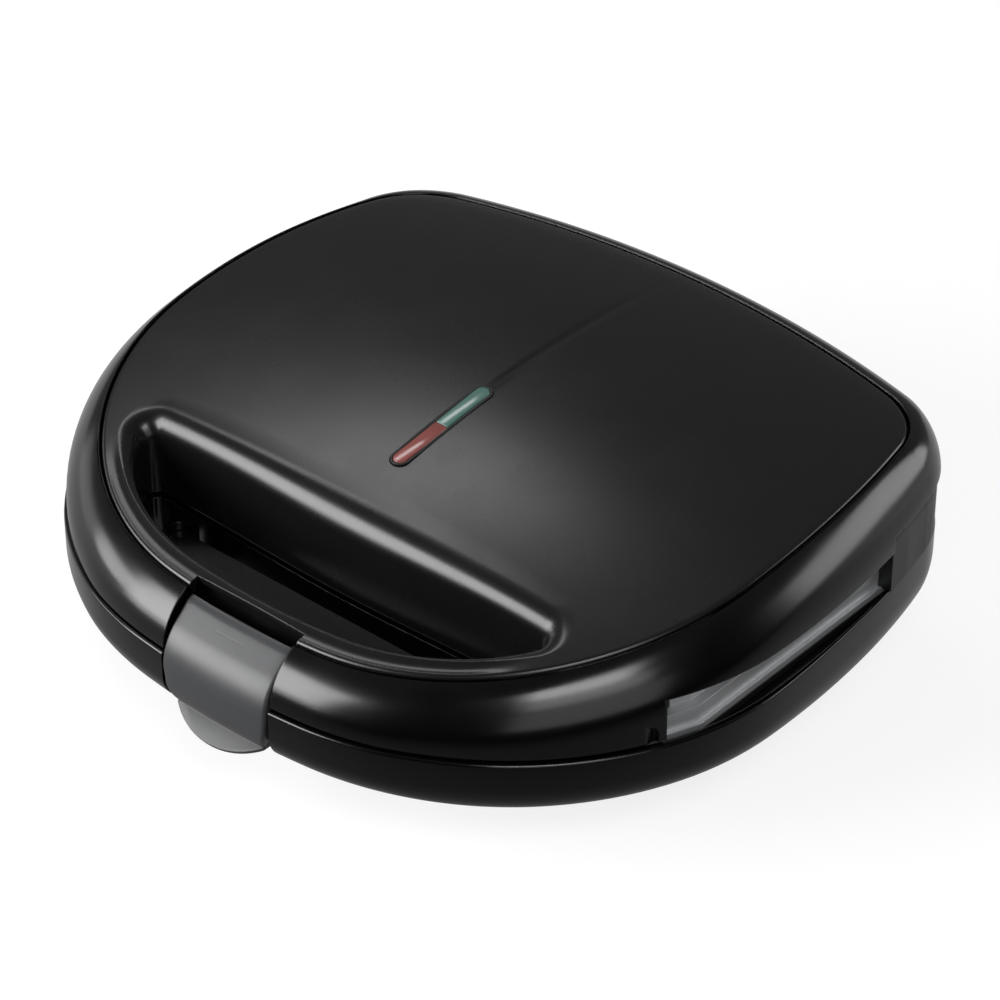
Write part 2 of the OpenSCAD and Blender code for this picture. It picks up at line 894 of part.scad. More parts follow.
// Heating tube: a U whose ends turn toward the middle
module heater() {
    w = plate_w / 2 - tube_in;
    d = plate_d / 2 - tube_end;
    r = tube_r;
    for (s = [-1, 1])
        translate([-w + r, s * d, 0])
            rotate([0, 90, 0])
                cylinder(d = tube_d, h = 2 * (w - r));
    for (s = [-1, 1])
        for (t = [-1, 1])
            translate([s * (w - r), t * (d - r), 0])
                rotate([0, 0, s > 0 ? (t > 0 ? 0 : -90) : (t > 0 ? 90 : 180)])
                    rotate_extrude(angle = 90)
                        translate([r, 0])
                            circle(d = tube_d);
    translate([w, -d + r, 0])
        rotate([-90, 0, 0])
            cylinder(d = tube_d, h = 2 * (d - r));
    for (s = [-1, 1])
        translate([-w, s > 0 ? tube_split : -d + r, 0])
            rotate([-90, 0, 0])
                cylinder(d = tube_d, h = d - r - tube_split);
}

// Sheet pan over the heating tube
module reflector() {
    w = plate_w - 2 * reflector_in;
    d = plate_d - 2 * reflector_end;
    difference() {
        translate([0, 0, seat_gap])
            linear_extrude(reflector_h + sheet - seat_gap)
                rounded_rect(w, d, reflector_r);
        translate([0, 0, -1])
            linear_extrude(reflector_h + 1)
                rounded_rect(w - 2 * sheet, d - 2 * sheet, reflector_r - sheet);
        posts(0, reflector_h + 2, screw_d + 2 * pin_fit);
    }
}

module at_upper() {
    translate([0, plate_y, mate_z])
        children();
}

module at_lower() {
    translate([0, plate_y, mate_z - lower_gap])
        mirror([0, 0, 1])
            children();
}

module on_plate() {
    translate([0, 0, plate_h])
        children();
}

module upper_plate() {
    color("#6d6f70")
        at_upper()
            plate();
}

module lower_plate() {
    color("#6d6f70")
        at_lower()
            plate();
}

module upper_element() {
    color("#8a8c8f")
        at_upper()
            on_plate()
                translate([0, 0, tube_d / 2 + eps])
                    heater();
}

module lower_element() {
    color("#8a8c8f")
        at_lower()
            on_plate()
                translate([0, 0, tube_d / 2 + eps])
                    heater();
}

module upper_reflector() {
    color("#b9bcbf")
        at_upper()
            on_plate()
                reflector();
}

module lower_reflector() {
    color("#b9bcbf")
        at_lower()
            on_plate()
                reflector();
}

module screw(l) {
    cylinder(d = screw_d, h = l);
    translate([0, 0, l])
        cylinder(d = head_d, h = head_h);
}

module upper_screws() {
    color("silver")
        at_upper()
            for (s = [-1, 1])
                for (t = [-1, 1])
                    translate([s * post_x, t * post_y, plate_h + eps])
                        screw(reflector_h + sheet);
}

disc_d = 17;
disc_h = 5;
fuse_x = 38;
fuse_d = 4;
fuse_l = 12;

module thermostat() {
    color("#e8e4da")
        at_upper()
            on_plate()
                translate([0, 0, eps]) {
                    cylinder(d = disc_d, h = disc_h);
                    cylinder(d = disc_d - 6, h = disc_h + 2);
                }
}

module thermal_fuse() {
    color("white")
        at_upper()
            on_plate()
                translate([-fuse_x, 0, fuse_d / 2 + 0.1])
                    rotate([0, 90, 0])
                        cylinder(d = fuse_d, h = fuse_l, center = true);
}

// ---- Base ----

rim_z = parting_z - 0.4;
belt_d = 8.5;
belt_r = 10;
belt_turn = 57;
floor_z = foot_h;
floor_rise = 1;
floor_top = floor_z + wall;
deck_z = mate_z - lower_gap - lip_t - seat_gap;
shelf_z = parting_z - 1;
bar_low = parting_z - 17;
boss_r = 5;
ear_in = 0.6;

// Outer profile of the base below its rim: [inset, height]
function belt_profile() = concat(
    [[0, rim_z]],
    [for (t = [0:belt_turn / 6:belt_turn])
        [belt_r * (1 - cos(t)), parting_z - belt_d - belt_r * sin(t)]],
    [[base_inset, floor_z]]
);

// Half width of the outline at depth y for a given inset, beside the front corner
function half_width(inset, y) =
    let (a = arcs(inset, inset, inset)[1])
    a[0][0] + sqrt(a[1] * a[1] - pow(y - a[0][1], 2));

// Height of the inside of the base over the outside at height z
function inner_rise(z) = z > parting_z - belt_d - eps ? 0 : z > floor_z ? floor_rise : wall;

// Bowl of the base: the profile carried round the outline, one wall thick
module base_bowl() {
    p = belt_profile();
    vessel(concat(
        [for (q = reversed(p)) level(outline(q[0]), q[1])],
        [for (q = p) level(outline(q[0] + wall), q[1] + inner_rise(q[1]))]
    ));
}

// Everything inside the middle of the bowl's wall
module bowl_inside() {
    vessel([for (q = reversed(belt_profile())) level(outline(q[0] + wall / 2), q[1])]);
}

// Finger opening of the base: that of the lid, less the grip bar
module base_opening(off) {
    difference() {
        grip_plan(off);
        translate([-bar_half, -body_front])
            square([2 * bar_half, body_front - bar_y - off]);
        for (s = [-1, 1])
            translate([s * bar_half, -bar_y])
                circle(boss_r - off);
    }
}

module in_front(y) {
    translate([-body_w, -body_front - 20])
        square([2 * body_w, body_front + 20 - y]);
}

module behind(y) {
    translate([-body_w, y])
        square([2 * body_w, 2 * body_w]);
}

module feet_at(z) {
    for (s = [-1, 1])
        for (y = [-foot_front, foot_back])
            translate([s * foot_x, y, z])
                children();
}

// Grip bar across the nose: a flat top on a skirt, open below
module grip_bar() {
    intersection() {
        bowl_inside();
        union() {
            translate([0, 0, bar_low])
                linear_extrude(shelf_z - bar_low)
                    difference() {
                        in_front(bowl_y - wall);
                        base_opening(0);
                        difference() {
                            intersection() {
                                plan(wall + 3);
                                in_front(bowl_y);
                            }
                            base_opening(wall);
                            for (s = [-1, 1])
                                translate([s * bar_half, -bar_y])
                                    circle(boss_r);
                            translate([-notch_half - wall, -body_front])
                                square([2 * (notch_half + wall), 10]);
                        }
                    }
            translate([0, 0, shelf_z - wall])
                linear_extrude(wall)
                    difference() {
                        in_front(bowl_y - wall);
                        base_opening(0);
                    }
        }
    }
}

// Front wall of the bowl, behind the finger opening
module bowl_front() {
    p = [for (q = belt_profile()) [half_width(q[0] + wall / 2, -bowl_y), min(q[1], deck_z)]];
    translate([0, -bowl_y + wall, 0])
        rotate([90, 0, 0])
            linear_extrude(wall)
                polygon(concat(p, [for (q = reversed(p)) [-q[0], q[1]]]));
}

module lower_housing() {
    color("#1b1c1e")
        difference() {
            union() {
                difference() {
                    base_bowl();
                    translate([0, 0, -1])
                        linear_extrude(bar_low + 1)
                            in_front(bowl_y);
                }
                bowl_front();
                grip_bar();
                // Deck round the plate
                translate([0, 0, deck_z - wall])
                    linear_extrude(wall)
                        difference() {
                            intersection() {
                                plan(wall / 2);
                                behind(-bowl_y);
                            }
                            plate_plan(plate_gap);
                        }
                // Ears and rear wall
                intersection() {
                    rim(ear_in, ear_in + wall, parting_z - belt_d, parting_z + ear_h);
                    box([-body_w, body_w], [vent_back + run_gap, body_back + 5], [0, 2 * parting_z]);
                }
                knuckles(base_knuckles, -1);
                gland_boss();
                floor_posts();
            }
            knuckle_room(lid_knuckles);
            hinge_bore(hinge_pin_d + 2 * pin_fit);
            latch_recess();
            gland_hole();
            floor_holes();
            grip_holes();
        }
}

latch_gap = 0.7;
recess_y = latch_face + latch_t + latch_gap;
catch_t = 2.4;
catch_room = 4;

// Recess in the nose of the base that the latch closes into
module latch_recess() {
    box([-notch_half, notch_half], [-body_front - 5, recess_y], [0, parting_z + 2]);
    box([-notch_half, notch_half], [recess_y - eps, recess_y + catch_t + catch_room],
        [0, latch_low_z + hook_t + catch_gap]);
}

gland_z = parting_z - 11;
gland_y = body_back + 0.3;
gland_l = 9;
gland_wall = 2.5;
gland_flange = 2.5;
gland_flange_t = 1.6;
collar = 3.5;
collar_t = 2;

module gland_boss() {
    translate([0, gland_y, gland_z])
        rotate([90, 0, 0])
            cylinder(d = gland_d + 2 * gland_wall, h = gland_l);
}

module gland_hole() {
    translate([0, gland_y + 1, gland_z])
        rotate([90, 0, 0])
            cylinder(d = gland_d + 2 * seat_gap, h = gland_l + 5);
    translate([0, gland_y - gland_l, gland_z])
        rotate([90, 0, 0])
            cylinder(d = gland_d + gland_flange + 2 * seat_gap, h = 10);
}

module cord_gland() {
    color("#141414")
        translate([0, gland_y, gland_z])
            rotate([90, 0, 0])
                difference() {
                    union() {
                        translate([0, 0, -seat_gap])
                            cylinder(d = gland_d, h = gland_l + 2 * seat_gap);
                        translate([0, 0, -seat_gap - collar_t])
                            cylinder(d = gland_d + collar, h = collar_t);
                        translate([0, 0, gland_l + seat_gap])
                            cylinder(d = gland_d + gland_flange, h = gland_flange_t);
                    }
                    translate([0, 0, -5])
                        cylinder(d = gland_bore, h = gland_l + 15);
                }
}

// Posts that the plate screws pass through, from the floor up to the reflector
post_top = mate_z - lower_gap - plate_h - reflector_h - sheet - seat_gap;
head_well = 4;
head_gap = 0.5;
floor_post_d = 10;
lower_screw_l = post_top - floor_z - head_well + sheet + reflector_h;
slot_l = 22;
slot_w = 3;
slot_pitch = 9;
slots = 9;
stem_d = 5;
stem_head_d = 7;
stem_head_h = 1.2;

module floor_posts() {
    translate([0, plate_y, 0])
        posts(floor_z, post_top - floor_z, floor_post_d);
}

module floor_holes() {
    translate([0, plate_y, 0]) {
        posts(floor_z - 1, post_top - floor_z + 2, screw_d + 2 * pin_fit);
        posts(floor_z - 1, head_well + 1, head_d + 2 * head_gap);
    }
    // Air slots
    for (i = [0:slots - 1])
        translate([(i - (slots - 1) / 2) * slot_pitch, plate_y, floor_z - 1])
            linear_extrude(wall + 2)
                capsule(slot_l, slot_w);
    feet_at(floor_z - 1)
        cylinder(d = stem_d + 0.2, h = wall + 2);
}

module lower_screws() {
    color("silver")
        translate([0, plate_y, floor_z + head_well])
            for (s = [-1, 1])
                for (t = [-1, 1])
                    translate([s * post_x, t * post_y, 0])
                        mirror([0, 0, 1]) {
                            cylinder(d = head_d, h = head_h);
                            translate([0, 0, -lower_screw_l])
                                cylinder(d = screw_d, h = lower_screw_l);
                        }
}

grip_well = 5;
grip_hole_d = 7.4;
grip_head_d = 6.8;
grip_head_h = 2;
grip_screw_l = 10;

module grip_holes() {
    for (s = [-1, 1])
        translate([s * bar_half, -bar_y, shelf_z - grip_well])
            cylinder(d = grip_hole_d, h = grip_well + 1);
    for (s = [-1, 1])
        translate([s * bar_half, -bar_y, bar_low - 1])
            cylinder(d = screw_d, h = shelf_z - bar_low);
}

module grip_screws() {
    color("silver")
        for (s = [-1, 1])
            translate([s * bar_half, -bar_y, shelf_z - grip_well]) {
                translate([0, 0, -grip_screw_l])
                    cylinder(d = screw_d - 2 * pin_fit, h = grip_screw_l + 0.5);
                cylinder(d = grip_head_d, h = grip_head_h);
            }
}

module feet() {
    color("#0c0c0c")
        feet_at(0) {
            cylinder(d1 = foot_d - 2, d2 = foot_d, h = foot_h);
            translate([0, 0, foot_h])
                cylinder(d = stem_d, h = floor_top - foot_h + 0.5);
            translate([0, 0, floor_top])
                cylinder(d = stem_head_d, h = stem_head_h);
        }
}

terminal_w = 36;
terminal_d = 10;
terminal_h = 6;
terminal_pitch = 11;
terminal_bore = 5;
terminal_in = 4.5;

module terminal_block() {
    back = body_back - base_inset - terminal_in;
    color("ivory")
        difference() {
            box([-terminal_w / 2, terminal_w / 2], [back - terminal_d, back], [floor_top, floor_top + terminal_h]);
            for (i = [-1, 0, 1])
                translate([i * terminal_pitch, back - terminal_d / 2, floor_top + terminal_h / 3])
                    cylinder(d = terminal_bore, h = terminal_h);
        }
}

top_cover();
upper_ring();
upper_frame();
lens_red();
lens_green();
lens_holder();
lamps();
upper_plate();
upper_element();
upper_reflector();
thermostat();
thermal_fuse();
upper_screws();
latch();
latch_pin();
latch_spring();
lower_housing();
lower_plate();
lower_element();
lower_reflector();
lower_screws();
grip_screws();
hinge_pin();
feet();
cord_gland();
terminal_block();
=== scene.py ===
"""Sandwich toaster: detailed pieces, finishes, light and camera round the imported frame."""
import logging
import math
from dataclasses import dataclass, field
from enum import Enum
from typing import Callable, Iterable, Sequence

import bmesh
import bpy
from mathutils import Matrix, Vector


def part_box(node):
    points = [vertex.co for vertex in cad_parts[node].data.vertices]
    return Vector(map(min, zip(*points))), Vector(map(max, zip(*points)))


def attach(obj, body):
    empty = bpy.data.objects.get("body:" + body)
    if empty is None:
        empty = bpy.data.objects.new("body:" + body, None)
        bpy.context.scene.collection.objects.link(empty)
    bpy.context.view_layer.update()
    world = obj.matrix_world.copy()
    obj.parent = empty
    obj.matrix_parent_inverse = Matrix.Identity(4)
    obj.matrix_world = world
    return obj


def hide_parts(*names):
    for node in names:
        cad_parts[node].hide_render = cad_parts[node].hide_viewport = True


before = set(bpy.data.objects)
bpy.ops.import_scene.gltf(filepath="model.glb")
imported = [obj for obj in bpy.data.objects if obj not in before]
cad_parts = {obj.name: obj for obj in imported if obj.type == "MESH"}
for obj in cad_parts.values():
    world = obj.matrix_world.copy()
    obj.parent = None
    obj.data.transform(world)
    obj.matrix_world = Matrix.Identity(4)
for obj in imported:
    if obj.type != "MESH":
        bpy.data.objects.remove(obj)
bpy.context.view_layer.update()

log = logging.getLogger("sandwich_toaster")

MM = 0.001
SHARP = math.radians(32)
WELD = 1e-4

Point = tuple[float, float]
Ring = list[Vector]
Colour = tuple[float, float, float]
Change = Callable[[bmesh.types.BMesh], None]
Source = bpy.types.NodeSocket | float | Sequence[float]


class Body(Enum):
    """The moving bodies of the frame."""

    BASE = "base"
    LID = "lid"
    LATCH = "latch"


# ---- Plan outline and crown -------------------------------------------------


@dataclass(frozen=True)
class Arc:
    """A stretch of a circle in plan.

    Args:
        centre: Middle of the circle.
        radius: Its radius.
        start: Angle where the stretch begins, in degrees.
        end: Angle where it ends, in degrees.
    """

    centre: Vector
    radius: float
    start: float
    end: float

    def at(self, angle: float, inset: float = 0.0) -> Vector:
        """Point at an angle, moved in by inset."""
        turn = math.radians(angle)
        return self.centre + (self.radius - inset) * Vector((math.cos(turn), math.sin(turn)))

    def heading(self, point: Vector) -> float:
        """Angle from the centre to a point, in degrees."""
        away = point - self.centre
        return math.degrees(math.atan2(away.y, away.x))


def meeting(c1: Vector, r1: float, c2: Vector, r2: float) -> Vector:
    """Where two circles meet on the +X side.

    Args:
        c1: Centre of the first circle.
        r1: Radius of the first circle.
        c2: Centre of the second circle.
        r2: Radius of the second circle.

    Returns:
        The meeting point with the larger x.
    """
    way = c2 - c1
    gap = way.length
    along = (r1 * r1 - r2 * r2 + gap * gap) / (2 * gap)
    off = math.sqrt(max(0.0, r1 * r1 - along * along))
    middle = c1 + way * (along / gap)
    side = Vector((-way.y, way.x)) / gap
    ends = (middle + side * off, middle - side * off)
    return max(ends, key=lambda p: p.x)


def smooth(t: float) -> float:
    """Soft step from 0 to 1."""
    t = min(1.0, max(0.0, t))
    return t * t * (3 - 2 * t)


def mirrored(half: Sequence[Vector]) -> list[Vector]:
    """Close a right half that runs from x = 0 to x = 0."""
    left = [Vector((-p.x, *p[1:])) for p in reversed(half[1:-1])]
    return [p.copy() for p in half] + left


@dataclass(frozen=True)
class Steps:
    """How many points each stretch of a half outline has."""

    nose: int = 14
    lip: int = 36
    rest: tuple[int, int, int, int] = (18, 22, 28, 26)
    corner: int = 28

    @property
    def line(self) -> int:
        """Points along the straight rear of the finger opening."""
        return sum(self.rest) - self.corner


@dataclass(frozen=True)
class Plan:
    """Driving sizes of the body in plan and of its crown, in millimetres."""

    width: float = 230.0
    front: float = 102.5
    back: float = 101.5
    widest: float = 6.0
    front_r: float = 238.0
    side_r: float = 247.0
    back_r: float = 365.0
    front_corner_r: float = 98.0
    back_corner_r: float = 37.0
    parting: float = 41.0
    crown_h: float = 36.4
    crown_y: float = 30.0
    crown_rx: float = 980.0
    crown_ry: float = 352.0
    seam_front: float = 11.0
    seam_side: float = 12.5
    seam_back: float = 11.3
    grip_inset: float = 16.7
    grip_y: float = 44.7
    grip_corner_r: float = 9.5
    grip_rim_r: float = 6.8
    grip_swell: float = 1.9
    grip_lip_r: float = 2.0
    draw_start: float = -40.0
    draw_run: float = 70.0
    nose_half: float = 45.0
    nose_run: float = 20.0
    steps: Steps = Steps()

    def arcs(self, f: float, s: float, b: float) -> list[Arc]:
        """Arcs of the right half of the outline, from the nose to the rear.

        Args:
            f: Inset at the nose.
            s: Inset at the sides.
            b: Inset at the rear.

        Returns:
            Five arcs that meet each other.
        """
        rf, rs, rb = self.front_r - f, self.side_r - s, self.back_r - b
        rc = self.front_corner_r - (f + s) / 2
        rd = self.back_corner_r - (s + b) / 2
        cf = Vector((0, self.front_r - self.front))
        cs = Vector((self.width / 2 - self.side_r, self.widest))
        cb = Vector((0, self.back - self.back_r))
        fc = meeting(cf, rf - rc, cs, rs - rc)
        bc = meeting(cb, rb - rd, cs, rs - rd)

        def face(c: Vector, p: Vector) -> float:
            """Angle from a centre to a point, in degrees."""
            return math.degrees(math.atan2(p.y - c.y, p.x - c.x))

        return [
            Arc(cf, rf, -90, face(cf, fc)),
            Arc(fc, rc, face(cf, fc), face(cs, fc)),
            Arc(cs, rs, face(cs, fc), face(cs, bc)),
            Arc(bc, rd, face(cs, bc), face(cb, bc)),
            Arc(cb, rb, face(cb, bc), 90),
        ]

    @property
    def grip_centre(self) -> Vector:
        """Centre of the rear corner of the finger opening.

        Returns:
            The point on the +X side.
        """
        side = self.arcs(0, 0, 0)[1]
        reach = side.radius - self.grip_inset - self.grip_corner_r
        y = -self.grip_y - self.grip_corner_r
        return Vector((side.centre.x + math.sqrt(reach**2 - (y - side.centre.y) ** 2), y))

    @property
    def split(self) -> float:
        """Angle on the front corner at which the finger opening turns away from it."""
        return self.arcs(0, 0, 0)[1].heading(self.grip_centre)

    def half(self, f: float, s: float, b: float) -> list[Vector]:
        """Right half of the outline, with as many points as the finger opening.

        Args:
            f: Inset at the nose.
            s: Inset at the sides.
            b: Inset at the rear.

        Returns:
            Points from the nose to the middle of the rear.
        """
        n = self.steps
        a = self.arcs(f, s, b)
        corner = a[1]
        stretches = [
            (a[0], n.nose, a[0].start, a[0].end),
            (corner, n.lip, corner.start, self.split),
            (corner, n.rest[0], self.split, corner.end),
            (a[2], n.rest[1], a[2].start, a[2].end),
            (a[3], n.rest[2], a[3].start, a[3].end),
            (a[4], n.rest[3], a[4].start, a[4].end),
        ]
        points = [
            arc.at(start + (end - start) * i / count)
            for arc, count, start, end in stretches
            for i in range(count)
        ]
        return points + [a[4].at(90)]

    def outline(self, inset: float) -> list[Vector]:
        """Whole outline at one inset."""
        return mirrored(self.half(inset, inset, inset))

    def seam(self, extra: float) -> list[Vector]:
        """Outline of the cover seam, moved in by extra."""
        f, s, b = self.seam_front, self.seam_side, self.seam_back
        return mirrored(self.half(f + extra, s + extra, b + extra))

    @property
    def rim_radii(self) -> list[float]:
        """Rounding of the rim at each point of a half of the finger opening.

        Returns:
            Radii from the nose to the middle of its rear.
        """
        n = self.steps
        grow = self.grip_rim_r - self.grip_lip_r
        lip = [self.grip_lip_r + grow * (i / n.lip) ** 4 for i in range(n.lip)]
        rear = [self.grip_rim_r] * n.corner
        rear += [self.grip_rim_r + self.grip_swell * smooth(i / n.line) for i in range(n.line + 1)]
        return [self.grip_lip_r] * n.nose + lip + rear

    def grip(self, k: float, off: float) -> list[Vector]:
        """Finger opening set in from its crest.

        Args:
            k: Share of the rim's rounding to set it in by.
            off: Further distance to set it in by.

        Returns:
            The closed outline.
        """
        n, radii = self.steps, self.rim_radii
        nose, side = self.arcs(0, 0, 0)[:2]
        split, centre = self.split, self.grip_centre
        deep = k * self.grip_rim_r + off
        half = [
            nose.at(nose.start + (nose.end - nose.start) * i / n.nose,
                    self.grip_inset + k * radii[i] + off)
            for i in range(n.nose)
        ]
        half += [
            side.at(side.start + (split - side.start) * i / n.lip,
                    self.grip_inset + k * radii[n.nose + i] + off)
            for i in range(n.lip)
        ]
        corner = Arc(centre, self.grip_corner_r - deep, split, 90)
        half += [corner.at(split + (90 - split) * i / n.corner) for i in range(n.corner)]
        half += [
            Vector((centre.x * (1 - i / n.line), -self.grip_y - k * radii[i - n.line - 1] - off))
            for i in range(n.line + 1)
        ]
        return mirrored(half)

    def crown(self, p: Vector) -> float:
        """Height of the crown over a point in plan."""
        top = self.parting + self.crown_h - p.x**2 / (2 * self.crown_rx)
        return top - (p.y - self.crown_y) ** 2 / (2 * self.crown_ry)

    def lift(self, ring: Iterable[Vector], drop: float) -> Ring:
        """Ring laid on the crown, lowered by drop."""
        return [Vector((p.x, p.y, self.crown(p) - drop)) for p in ring]

    def reaches(self) -> dict[int, float]:
        """Half width of the outline at each whole depth.

        Returns:
            Half widths by depth, 0 past the ends.
        """
        half = self.half(0, 0, 0)
        table = dict.fromkeys(range(-math.ceil(self.front), math.ceil(self.back) + 1), 0.0)
        for y in table:
            for a, b in zip(half, half[1:]):
                if a.y <= y <= b.y and b.y > a.y:
                    table[y] = a.x + (b.x - a.x) * (y - a.y) / (b.y - a.y)
                    break
        return table

    def draw_in(self, front: float, rear: float, zone: float) -> Change:
        """Change that draws the sides in, more towards the rear.

        Args:
            front: How far at the front.
            rear: How far at the rear.
            zone: Depth of the stretch inside the outline that gives way.

        Returns:
            The change, for a mesh in millimetres.
        """
        table = self.reaches()

        def change(bm: bmesh.types.BMesh) -> None:
            """Draw in each point by how near it lies to the outline.

            Args:
                bm: The mesh.
            """
            for v in bm.verts:
                y = min(math.floor(self.back), max(-math.floor(self.front), v.co.y))
                low = math.floor(y)
                reach = table[low] + (table[low + 1] - table[low]) * (y - low)
                amount = front + (rear - front) * smooth((y - self.draw_start) / self.draw_run)
                share = min(1.0, max(0.0, (abs(v.co.x) - reach + zone) / zone))
                clear = smooth((abs(v.co.x) - self.nose_half) / self.nose_run)
                v.co.x -= math.copysign(amount * share * clear, v.co.x)

        return change

    def half_width(self, inset: float, y: float) -> float:
        """Half width of the outline beside the front corner, at depth y."""
        corner = self.arcs(inset, inset, inset)[1]
        return corner.centre.x + math.sqrt(corner.radius**2 - (y - corner.centre.y) ** 2)


def level(ring: Iterable[Vector], z: float) -> Ring:
    """Ring laid flat at height z."""
    return [Vector((p.x, p.y, z)) for p in ring]


def between(a: Sequence[Vector], b: Sequence[Vector], t: float) -> list[Vector]:
    """Ring at share t of the way from a to b."""
    return [p.lerp(q, t) for p, q in zip(a, b)]


# ---- Mesh tools --------------------------------------------------------------


class Solid:
    """A closed mesh under construction, in millimetres."""

    def __init__(self, bm: bmesh.types.BMesh) -> None:
        """Take over a bmesh.

        Args:
            bm: Closed mesh; it is freed here.
        """
        bmesh.ops.recalc_face_normals(bm, faces=bm.faces)
        mesh = bpy.data.meshes.new("solid")
        bm.to_mesh(mesh)
        bm.free()
        self.obj = bpy.data.objects.new("solid", mesh)
        bpy.context.scene.collection.objects.link(self.obj)

    def _boolean(self, other: "Solid", how: str) -> "Solid":
        """Combine with another solid and drop that one.

        Args:
            other: The other solid.
            how: Operation of the Boolean modifier.

        Returns:
            This solid.
        """
        step = self.obj.modifiers.new("step", "BOOLEAN")
        step.operation, step.object, step.solver = how, other.obj, "MANIFOLD"
        graph = bpy.context.evaluated_depsgraph_get()
        mesh = bpy.data.meshes.new_from_object(self.obj.evaluated_get(graph))
        self.obj.modifiers.clear()
        self.obj.data = mesh
        bpy.data.objects.remove(other.obj)
        return self

    def cut(self, *others: "Solid") -> "Solid":
        """Take other solids away.

        Args:
            others: The solids, which are used up.

        Returns:
            This solid.
        """
        for other in others:
            self._boolean(other, "DIFFERENCE")
        return self

    def join(self, *others: "Solid") -> "Solid":
        """Fuse other solids on.

        Args:
            others: The solids, which are used up.

        Returns:
            This solid.
        """
        for other in others:
            self._boolean(other, "UNION")
        return self

    def keep(self, other: "Solid") -> "Solid":
        """Keep only what lies in another solid."""
        return self._boolean(other, "INTERSECT")

    def edit(self, change: Change) -> "Solid":
        """Run a change on the mesh.

        Args:
            change: What to do to it as a bmesh.

        Returns:
            This solid.
        """
        bm = bmesh.new()
        bm.from_mesh(self.obj.data)
        change(bm)
        bm.to_mesh(self.obj.data)
        bm.free()
        return self

    def turn(self, place: Matrix) -> "Solid":
        """Move the mesh by a matrix."""
        self.obj.data.transform(place)
        return self

    def finish(self, name: str, body: Body, slot: str, look: bpy.types.Material,
               *nodes: str) -> bpy.types.Object:
        """Turn the solid into a named piece in metres that rides on a body.

        Args:
            name: Name of the piece.
            body: Body that it rides on.
            slot: Name of a material slot; not used.
            look: Its material.
            nodes: CAD nodes that it stands for.

        Returns:
            The finished object.
        """

        def clean(bm: bmesh.types.BMesh) -> None:
            """Merge the points and edges that booleans leave on each other."""
            bmesh.ops.remove_doubles(bm, verts=bm.verts, dist=WELD)
            bmesh.ops.dissolve_degenerate(bm, edges=bm.edges, dist=WELD)

        piece = self.edit(clean).turn(Matrix.Scale(MM, 4)).obj
        piece.name = piece.data.name = name
        piece.data.materials.clear()
        piece.data.materials.append(look)
        piece.data.polygons.foreach_set("use_smooth", [True] * len(piece.data.polygons))
        piece.data.set_sharp_from_angle(angle=SHARP)
        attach(piece, body.value)
        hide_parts(*nodes)
        log.info("%s: %d faces", name, len(piece.data.polygons))
        return piece


def _ring_of(bm: bmesh.types.BMesh, ring: Sequence[Vector]) -> list[bmesh.types.BMVert]:
    """Start a mesh with one open ring of points.

    Args:
        bm: Empty mesh.
        ring: Where the points go.

    Returns:
        The points, in the ring's order.
    """
    made = bmesh.ops.create_circle(bm, cap_ends=False, segments=len(ring), radius=1.0)["verts"]
    for vert, place in zip(made, ring):
        vert.co = place
    return list(made)


def loft(rings: Sequence[Ring], closed: bool) -> Solid:
    """Carry a ring of points through a row of places by extruding its edges.

    Args:
        rings: Places of the ring, each of as many points.
        closed: Whether the last ring meets the first; if not, both get a flat cap.

    Returns:
        The closed solid.
    """
    bm = bmesh.new()
    current = _ring_of(bm, rings[0])
    edges = list(bm.edges)
    if not closed:
        bmesh.ops.contextual_create(bm, geom=edges)
    for ring in (*rings[1:], rings[0]) if closed else rings[1:]:
        made = bmesh.ops.extrude_edge_only(bm, edges=edges)["geom"]
        fresh = {g for g in made if isinstance(g, bmesh.types.BMVert)}
        edges = [g for g in made if isinstance(g, bmesh.types.BMEdge)
                 and all(v in fresh for v in g.verts)]
        current = [next(e.other_vert(v) for e in v.link_edges if e.other_vert(v) in fresh)
                   for v in current]
        for vert, place in zip(current, ring):
            vert.co = place
    if closed:
        bmesh.ops.remove_doubles(bm, verts=bm.verts, dist=1e-5)
    else:
        bmesh.ops.contextual_create(bm, geom=edges)
    return Solid(bm)


def prism(outline: Sequence[Vector], z0: float, z1: float) -> Solid:
    """Upright solid on a flat outline."""
    return loft([level(outline, z0), level(outline, z1)], closed=False)


def box(x: Point, y: Point, z: Point) -> Solid:
    """Upright box between two corners.

    Args:
        x: Lowest and highest x.
        y: Lowest and highest y.
        z: Lowest and highest z.

    Returns:
        The closed solid.
    """
    bm = bmesh.new()
    bmesh.ops.create_cube(bm, size=1.0)
    low, high = Vector((x[0], y[0], z[0])), Vector((x[1], y[1], z[1]))
    bmesh.ops.scale(bm, vec=high - low, verts=bm.verts)
    bmesh.ops.translate(bm, vec=(low + high) / 2, verts=bm.verts)
    return Solid(bm)


def rod(d: float, start: Vector, end: Vector, segments: int = 64) -> Solid:
    """Round rod from one point to another.

    Args:
        d: Diameter.
        start: Middle of the first end.
        end: Middle of the other end.
        segments: Sides of the circle.

    Returns:
        The closed solid.
    """
    way = end - start
    turn = way.to_track_quat("Z", "Y").to_matrix().to_4x4()
    bm = bmesh.new()
    bmesh.ops.create_cone(bm, cap_ends=True, segments=segments, radius1=d / 2, radius2=d / 2,
                          depth=way.length, matrix=Matrix.Translation((start + end) / 2) @ turn)
    return Solid(bm)


def x_rod(d: float, x0: float, x1: float, y: float, z: float) -> Solid:
    """Round rod along X."""
    return rod(d, Vector((x0, y, z)), Vector((x1, y, z)))


